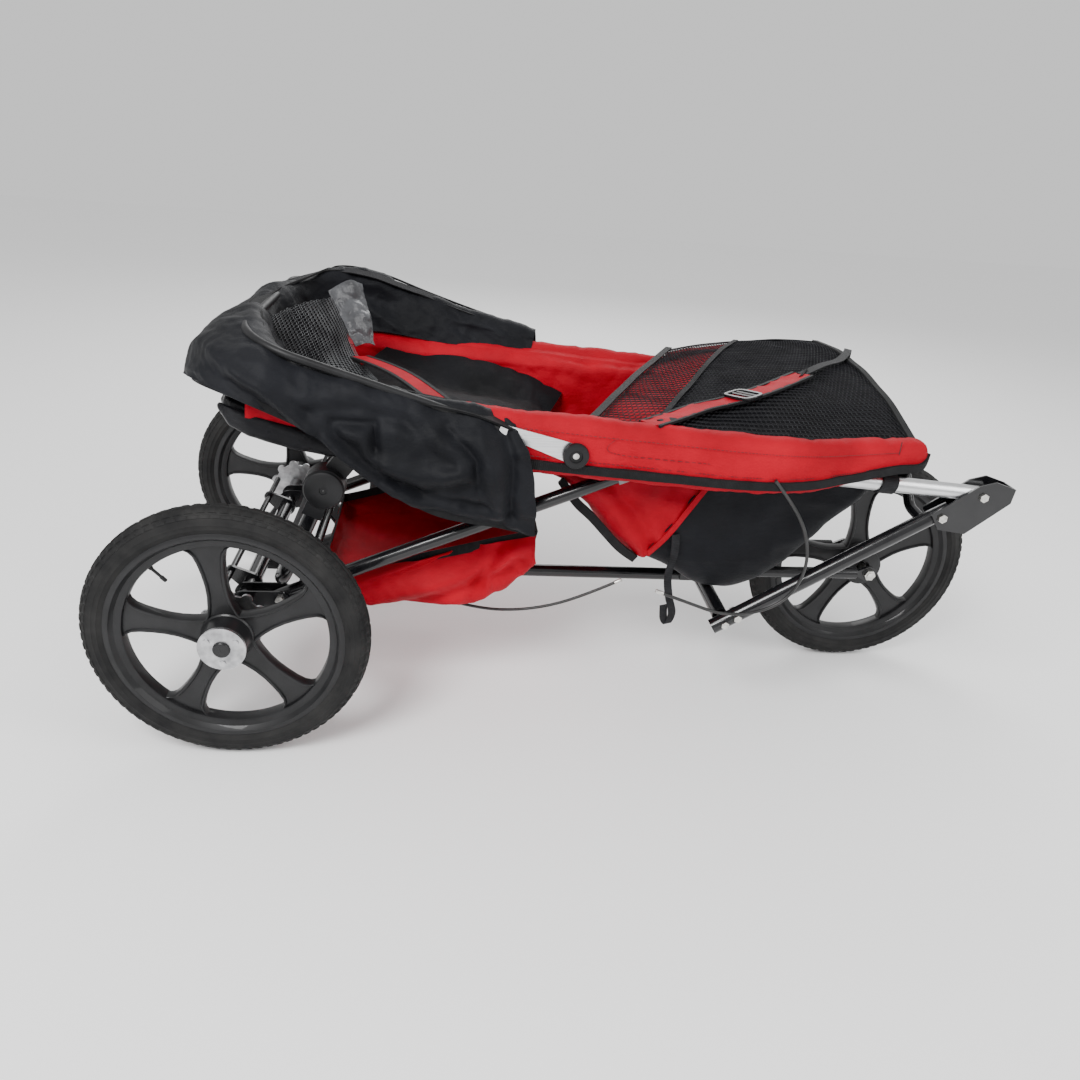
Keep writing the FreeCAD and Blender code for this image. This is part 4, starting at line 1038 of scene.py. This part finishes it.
# %% Front flap, rail loops and hanging strap
FLAP_PLACES = range(-216, 217, 48)
flap_rows = [[cover_place(338, across, 1) for across in FLAP_PLACES],
             [on_rail(352, 44 + 16 * math.cos(across / 90), across * 0.99) for across in FLAP_PLACES],
             [on_rail(350, 6 + 5 * math.cos(across / 70), across * 0.98) for across in FLAP_PLACES],
             [on_rail(340, -22, across * 0.94) for across in FLAP_PLACES]]
for side_name, side in SIDES:
    stations = [(-60, 0), (40, 0), (120, 3), (200, 13), (270, 32), (334, 46)]
    back = COVER_EDGE[0] if side < 0 else COVER_EDGE[1]
    gusset_rows = []
    for along, rise in stations:
        at = back + (along + 60) * (338 - back) / 398
        top = cover_place(at, side * 224, 1)
        foot = on_rail(at, rise + 26 * (1 - rise / BAND_TAPER), side * 228)
        gusset_rows.append([top, (top * 2 + foot) / 3, (top + foot * 2) / 3, foot])
    closing = panel("cover_side_" + side_name, gusset_rows, 60, 12, black_lining,
                    [(1.5, 24, (1, 1, 1), 3.5)], wall=1.4)
    wear(cut(closing, "stretched", "side_band_" + side_name), "rails", "black_mesh")
front_flap = panel("front_flap", flap_rows, 50, 110, black_cloth,
                   [(5, 10, (1, 1, 0.6), 5.5), (2, 26, (1, 1, 1), 1.5)], wall=1.8)
wear(cut(front_flap, "hung", "cover_backing"), "rails", "black_cloth")
for side_name, side in SIDES:
    loop = [on_rail(309 + 2 * math.sin(turn), 14.2 * math.sin(turn), side * 230 + 14.2 * math.cos(turn))
            for turn in (math.tau * step / 16 for step in range(17))]
    tape("rail_loop_" + side_name, loop, ALONG, 24, webbing, "webbing", wall=1.8, steps=64)
strap_line = [from_axle(659, -182, 322), from_axle(661, -183, 290), from_axle(656, -184, 250),
              from_axle(662, -184, 214), from_axle(672, -182, 182), from_axle(668, -179, 160),
              from_axle(660, -181, 170), from_axle(656, -183, 196)]
hanging = ribbon("hanging_webbing", strap_line, Vector((1, 0.25, 0.1)), 13, webbing, 2.0, 90)
wear(hanging, "rails", "webbing", "hanging_strap")

# %% [markdown]
# The canopy is folded back over the rear of the cabin. Its cloth is one long sheet that runs round
# the cabin like a collar: up the outside, over the rim where the hoop lies, and down the inside.

# %% Canopy hood
HOOD = [  # rim, outer middle, outer hem, inner hem, each as x, y, z from the rear axle
    ((390, -244, 502), (418, -264, 446), (428, -256, 350), (380, -208, 478)),
    ((335, -248, 522), (360, -280, 452), (374, -266, 366), (330, -204, 494)),
    ((262, -246, 534), (275, -284, 470), (284, -274, 386), (262, -200, 502)),
    ((178, -244, 550), (190, -282, 506), (200, -276, 436), (180, -198, 508)),
    ((108, -240, 566), (108, -276, 540), (132, -276, 492), (115, -194, 512)),
    ((58, -218, 590), (34, -264, 580), (38, -272, 534), (85, -182, 518)),
    ((26, -140, 608), (-20, -206, 588), (-30, -230, 546), (62, -130, 524)),
    ((10, -50, 606), (-38, -110, 576), (-54, -140, 530), (56, -50, 520)),
    ((14, 50, 610), (-38, 20, 570), (-58, 0, 518), (56, 40, 520)),
    ((48, 136, 618), (-16, 130, 572), (-50, 130, 510), (70, 120, 522)),
    ((98, 206, 626), (34, 238, 574), (-12, 248, 506), (110, 176, 526)),
    ((164, 236, 614), (140, 262, 564), (110, 266, 502), (168, 200, 526)),
    ((258, 242, 582), (250, 266, 542), (236, 268, 490), (262, 206, 512)),
    ((348, 242, 554), (350, 264, 524), (350, 266, 484), (350, 210, 502)),
    ((452, 240, 526), (458, 256, 506), (462, 256, 480), (444, 214, 494)),
]
NEAR_FOLDS = [
    (6, 14, [(110, 546), (184, 552), (253, 540), (325, 470), (319, 452)]),
    (-6, 9, [(120, 526), (190, 530), (245, 512), (300, 462)]),
    (8, 10, [(221, 458), (267, 443), (319, 452)]),
    (-8, 8, [(215, 438), (270, 420), (330, 432)]),
    (-11, 7, [(150, 514), (203, 512), (205, 477)]),
    (6, 8, [(165, 498), (190, 494), (198, 474)]),
    (5, 6, [(139, 494), (171, 462), (258, 404), (379, 384), (421, 352)]),
    (-8, 9, [(152, 502), (200, 452), (270, 414), (360, 398)]),
    (-12, 9, [(364, 526), (390, 466), (392, 385)]),
    (10, 12, [(345, 500), (366, 450), (372, 392)]),
    (9, 8, [(27, 574), (62, 557), (121, 503)]),
    (-7, 7, [(20, 558), (55, 540), (110, 490)]),
    (6, 10, [(236, 506), (290, 480), (300, 440)]),
    (-9, 7, [(296, 508), (340, 470), (345, 430)]),
]
hood_rows = []
for rim_at, outer_at, hem_at, inner_at in HOOD:
    rim_place, outer, hem, inner = (from_axle(*place) for place in (rim_at, outer_at, hem_at, inner_at))
    hood_rows.append([hem, outer, rim_place, (rim_place + inner) / 2 + Vector((0, 0, 0.004)), inner])
hood = panel("hood_cloth", hood_rows, 330, 90, black_cloth,
             [(10, 6, (0.6, 0.8, 2.0), 11.3), (4.5, 13, (0.8, 1, 1.7), 4.9), (1.5, 30, (1.2, 1, 1), 8.8),
              (0.9, 70, (1, 1, 1), 2.8)], wall=2.0, folds=(-1, NEAR_FOLDS))


def drawn_out(piece, slot_name, *replaced):
    """Bake the cloth's place into its mesh and hide the parts it stands for."""
    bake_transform(piece)
    if replaced:
        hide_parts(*replaced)


cut(hood, "gathered", "rail_tube_left", "rail_tube_right", "canopy_hoop")
drawn_out(hood, "black_cloth", "canopy_hood")
rim_line = [from_axle(*place[0]) + Vector((0, 0, 0.004)) for place in HOOD]
rim_side = [Vector((0.2, 1, 0.15)) if abs(place[0][1]) > 150 else Vector((1, 0, 0.2)) for place in HOOD]
drawn_out(ribbon("hood_rim_tape", rim_line, rim_side, 22, binding_tape, 2.4, 260,
                 [(2, 14, (1, 1, 1), 4.0)]), "black_cloth")
for number, shift in enumerate((-13, 13)):
    line = [place + side.normalized() * shift * MM + Vector((0, 0, 0.002))
            for place, side in zip(rim_line, rim_side)]
    drawn_out(ribbon("hood_rim_bead_%d" % number, line, rim_side, 3, binding_tape, 3.0, 260), "black_cloth")
hem_line = [from_axle(x, y + (3 if y > 0 else -3), z + 4) for _, _, (x, y, z), _ in HOOD]
drawn_out(ribbon("hood_hem", hem_line, Vector((0, 0.1, 1)), 12, binding_tape, 4.0, 300), "black_cloth")
print("hood", len(hood.data.polygons), "faces")

# %% [markdown]
# Inside the folded hood lie a grey ventilation mesh, a glossy clear strip, a black liner over the
# cabin floor and a red divider tape. All are panels and tapes.

# %% Inside the hood
grey_mesh = finish("grey_mesh", (0.09, 0.095, 0.1), 0.42, (40, 4, (0.04, 0.042, 0.045), (0.14, 0.145, 0.15)))
window_rows = [[from_axle(26, -76, 598), from_axle(70, -10, 612), from_axle(112, 62, 612)],
               [from_axle(46, -80, 560), from_axle(92, -10, 566), from_axle(132, 58, 568)],
               [from_axle(74, -84, 522), from_axle(112, -16, 520), from_axle(152, 44, 524)],
               [from_axle(122, -110, 506), from_axle(152, -66, 502), from_axle(190, -30, 502)]]
window = honeycomb("hood_window", window_rows, 4.6, whole, grey_mesh, [(7, 14, (1, 1, 0.6), 3.3)])
drawn_out(window, "black_mesh")
shade = panel("window_shade", [[place + Vector((-0.004, 0.004, -0.004)) for place in row] for row in window_rows],
              50, 50, black_lining, [(7, 14, (1, 1, 0.6), 3.3)], wall=1.2)
drawn_out(cut(shade, "gathered", "hood_cloth"), "black_cloth")
film = finish("clear_vinyl", (0.2, 0.2, 0.21), 0.14, (16, 4, (0.03, 0.03, 0.033), (0.16, 0.165, 0.175)),
              grain=(60, 5, 0.5, 0.004), Transmission_Weight=0.35, IOR=1.4)
film_rows = [[from_axle(104, 60, 620), from_axle(132, 84, 634), from_axle(152, 104, 626)],
             [from_axle(124, 56, 580), from_axle(148, 74, 588), from_axle(166, 92, 582)],
             [from_axle(146, 44, 536), from_axle(164, 58, 540), from_axle(176, 70, 534)]]
strip = panel("clear_strip", film_rows, 60, 30, film, [(5, 22, (1, 1, 1), 6.6), (2, 60, (1, 1, 1), 2.6)], wall=0.8)
drawn_out(cut(strip, "gathered", "hood_cloth"), "button_plastic")
loop_line = [from_axle(60, 196, 606), from_axle(84, 200, 626), from_axle(112, 204, 630), from_axle(160, 214, 622),
             from_axle(206, 226, 606), from_axle(262, 236, 588), from_axle(300, 240, 572)]
drawn_out(ribbon("hood_grab_loop", loop_line, Vector((0.1, 1, 0.4)), 15, webbing, 2.0, 120), "webbing")

LINER = [(-520, (16, 2, -4, 0, 12)), (-430, (-4, -16, -22, -16, 4)), (-330, (-18, -26, -22, -26, -2)),
         (-250, (-16, -30, -36, -34, -16)), (-196, (-40, -48, -56, -58, -40))]
liner_rows = [[on_rail(along + across * 0.35, above + 8, across) for above, across in
               zip(heights, (-168, -84, 0, 90, 172))] for along, heights in LINER]
liner = panel("cabin_liner", liner_rows, 110, 80, black_lining,
              [(9, 7, (0.6, 1, 1), 3.7), (4, 17, (1, 1, 1), 5.1), (1, 50, (1, 1, 1), 6.6)], wall=2.2)
wear(cut(liner, "laid", "cabin_cloth"), "rails", "black_cloth")
end_rows = [[on_rail(along, above, across) for across in (-150, -80, 0, 80, 150)]
            for along, above in ((-606, 2), (-578, -5), (-546, -9))]
cabin_end = panel("cabin_end", end_rows, 20, 60, black_lining, [(2, 17, (1, 1, 1), 5.1)], wall=1.6)
wear(cut(cabin_end, "laid", "cabin_cloth"), "rails", "black_cloth")
divider = [from_axle(150, 40, 520), from_axle(196, -10, 520), from_axle(240, -80, 520), from_axle(300, -190, 512)]
across_tape = Vector((0.95, 0.3, 0))
tape("divider", divider, across_tape, 27, red_cloth, "red_cloth", wall=2.4)
for tag, shift in (("near", 1), ("far", -1)):
    tape("divider_binding_" + tag, [place + across_tape.normalized() * shift * 15 * MM for place in divider],
         across_tape, 6, binding_tape, wall=4.0)

# %% [markdown]
# The rear hoop is wrapped in a padded roll. A tube with sewn pinches is modelled a little thin, and
# then blown up for a moment as cloth, which gives it tight, uneven skin. The two bolsters under the
# hood's corners are too slim for that, and are only creased.

# %% Padded rear roll
VOXEL, PRESSURE, SWELL_FRAMES = 0.005, 4, 20


def swollen(piece, cap):
    """The piece blown up as cloth for a moment, no point moving further than the cap."""
    modify(piece, "REMESH", mode="VOXEL", voxel_size=VOXEL)
    before = [vertex.co.copy() for vertex in piece.data.vertices]
    cloth = piece.modifiers.new("swell", "CLOTH")
    cloth.settings.use_pressure = True
    cloth.settings.uniform_pressure_force = PRESSURE
    cloth.settings.effector_weights.gravity = 0
    for frame_number in range(1, SWELL_FRAMES + 1):
        bpy.context.scene.frame_set(frame_number)
    select_only(piece)
    bpy.ops.object.modifier_apply(modifier="swell")
    bpy.context.scene.frame_set(1)
    for vertex, place in zip(piece.data.vertices, before):
        moved = vertex.co - place
        if moved.length > cap:
            vertex.co = place + moved.normalized() * cap
    modify(piece, "SUBSURF", levels=1, render_levels=1)


ROLL = [(-470, -232), (-540, -232), (-590, -230), (-622, -218), (-638, -196), (-643, -160), (-644, -80), (-644, 0),
        (-644, 80), (-643, 160), (-638, 196), (-622, 218), (-590, 230), (-540, 232), (-470, 232)]
roll_path = [on_rail(along, 0, across) for along, across in ROLL]
rows = []
for step in range(151):
    share = step / 150
    at, after = eased(roll_path, max(share - 0.004, 0)), eased(roll_path, min(share + 0.004, 1))
    forward = (after - at).normalized()
    aside = forward.cross(Vector((0, 0, 1))).normalized()
    up = aside.cross(forward)
    centre = eased(roll_path, share)
    pinch = 1 - 0.16 * max(0, math.cos(math.tau * share * 17)) ** 8
    rows.append([centre + (aside * math.cos(turn) * 17 + up * math.sin(turn) * 16.5) * pinch * MM
                 for turn in turns(20)])
shiny_cloth = woven("shiny_cloth", (0.004, 0.004, 0.005), (0.010, 0.010, 0.012), 0.3, sheen=0.0)
roll = lofted("rear_roll", rows, shiny_cloth, closed_section=True)
swollen(roll, 0.006)
crease(roll, [(1.6, 30, (1, 1, 2.5), 4.5)])
paint(smooth(roll, 60), shiny_cloth)
wear(roll, "rails", "black_cloth", "rear_padding")
print("rear roll", len(roll.data.polygons), "faces")

# %% Bolsters under the hood's corners
for side_name, side in SIDES:
    path = [from_axle(-8, side * 222, 506), from_axle(24, side * 244, 496), from_axle(80, side * 250, 482),
            from_axle(130, side * 250, 470), from_axle(182, side * 246, 464)]
    rows = []
    for step in range(49):
        share = step / 48
        centre = eased(path, share)
        thick = 0.35 + 0.65 * math.sin(math.pi * share) ** 0.5
        rows.append([centre + Vector((0, math.cos(turn) * 8 * thick, math.sin(turn) * 15 * thick)) * MM
                     for turn in turns(16)])
    bolster = lofted("rear_bolster_" + side_name, rows, shiny_cloth, closed_section=True)
    crease(bolster, [(2.2, 26, (1, 1, 2.0), 2.5)])
    wear(bolster, "rails", "black_cloth")

# %% [markdown]
# Last come the small moulded parts of the joints: a disc over each handle knuckle and a boss round
# each canopy pivot. They are profiles turned about the joint's own axle.

# %% Joint covers
for side_name, side in SIDES:
    knuckle = from_axle(130.9, 0, 403.6)
    disc = [(0.4, 253.2), (5, 253.2), (5.5, 254.8), (9, 255.1), (22, 254.7), (26.6, 252.6), (28.8, 248.8),
            (0.4, 248.8)]
    wear(turned("knuckle_disc_" + side_name, knuckle, [(r, y * side) for r, y in disc], moulded_plastic, 64),
         "handlebar", "black_plastic")
    pivot = from_axle(478.5, 0, 472.5)
    boss = [(4.6, 262), (6, 261.4), (8.6, 261.4), (9.4, 263.6), (13, 264), (17.4, 263), (18.6, 260.4),
            (18.6, 257.6), (4.6, 257.6)]
    wear(turned("canopy_boss_" + side_name, pivot, [(r, y * side) for r, y in boss], moulded_plastic, 64),
         "canopy", "black_plastic")
print("covers on both knuckles and both canopy pivots")
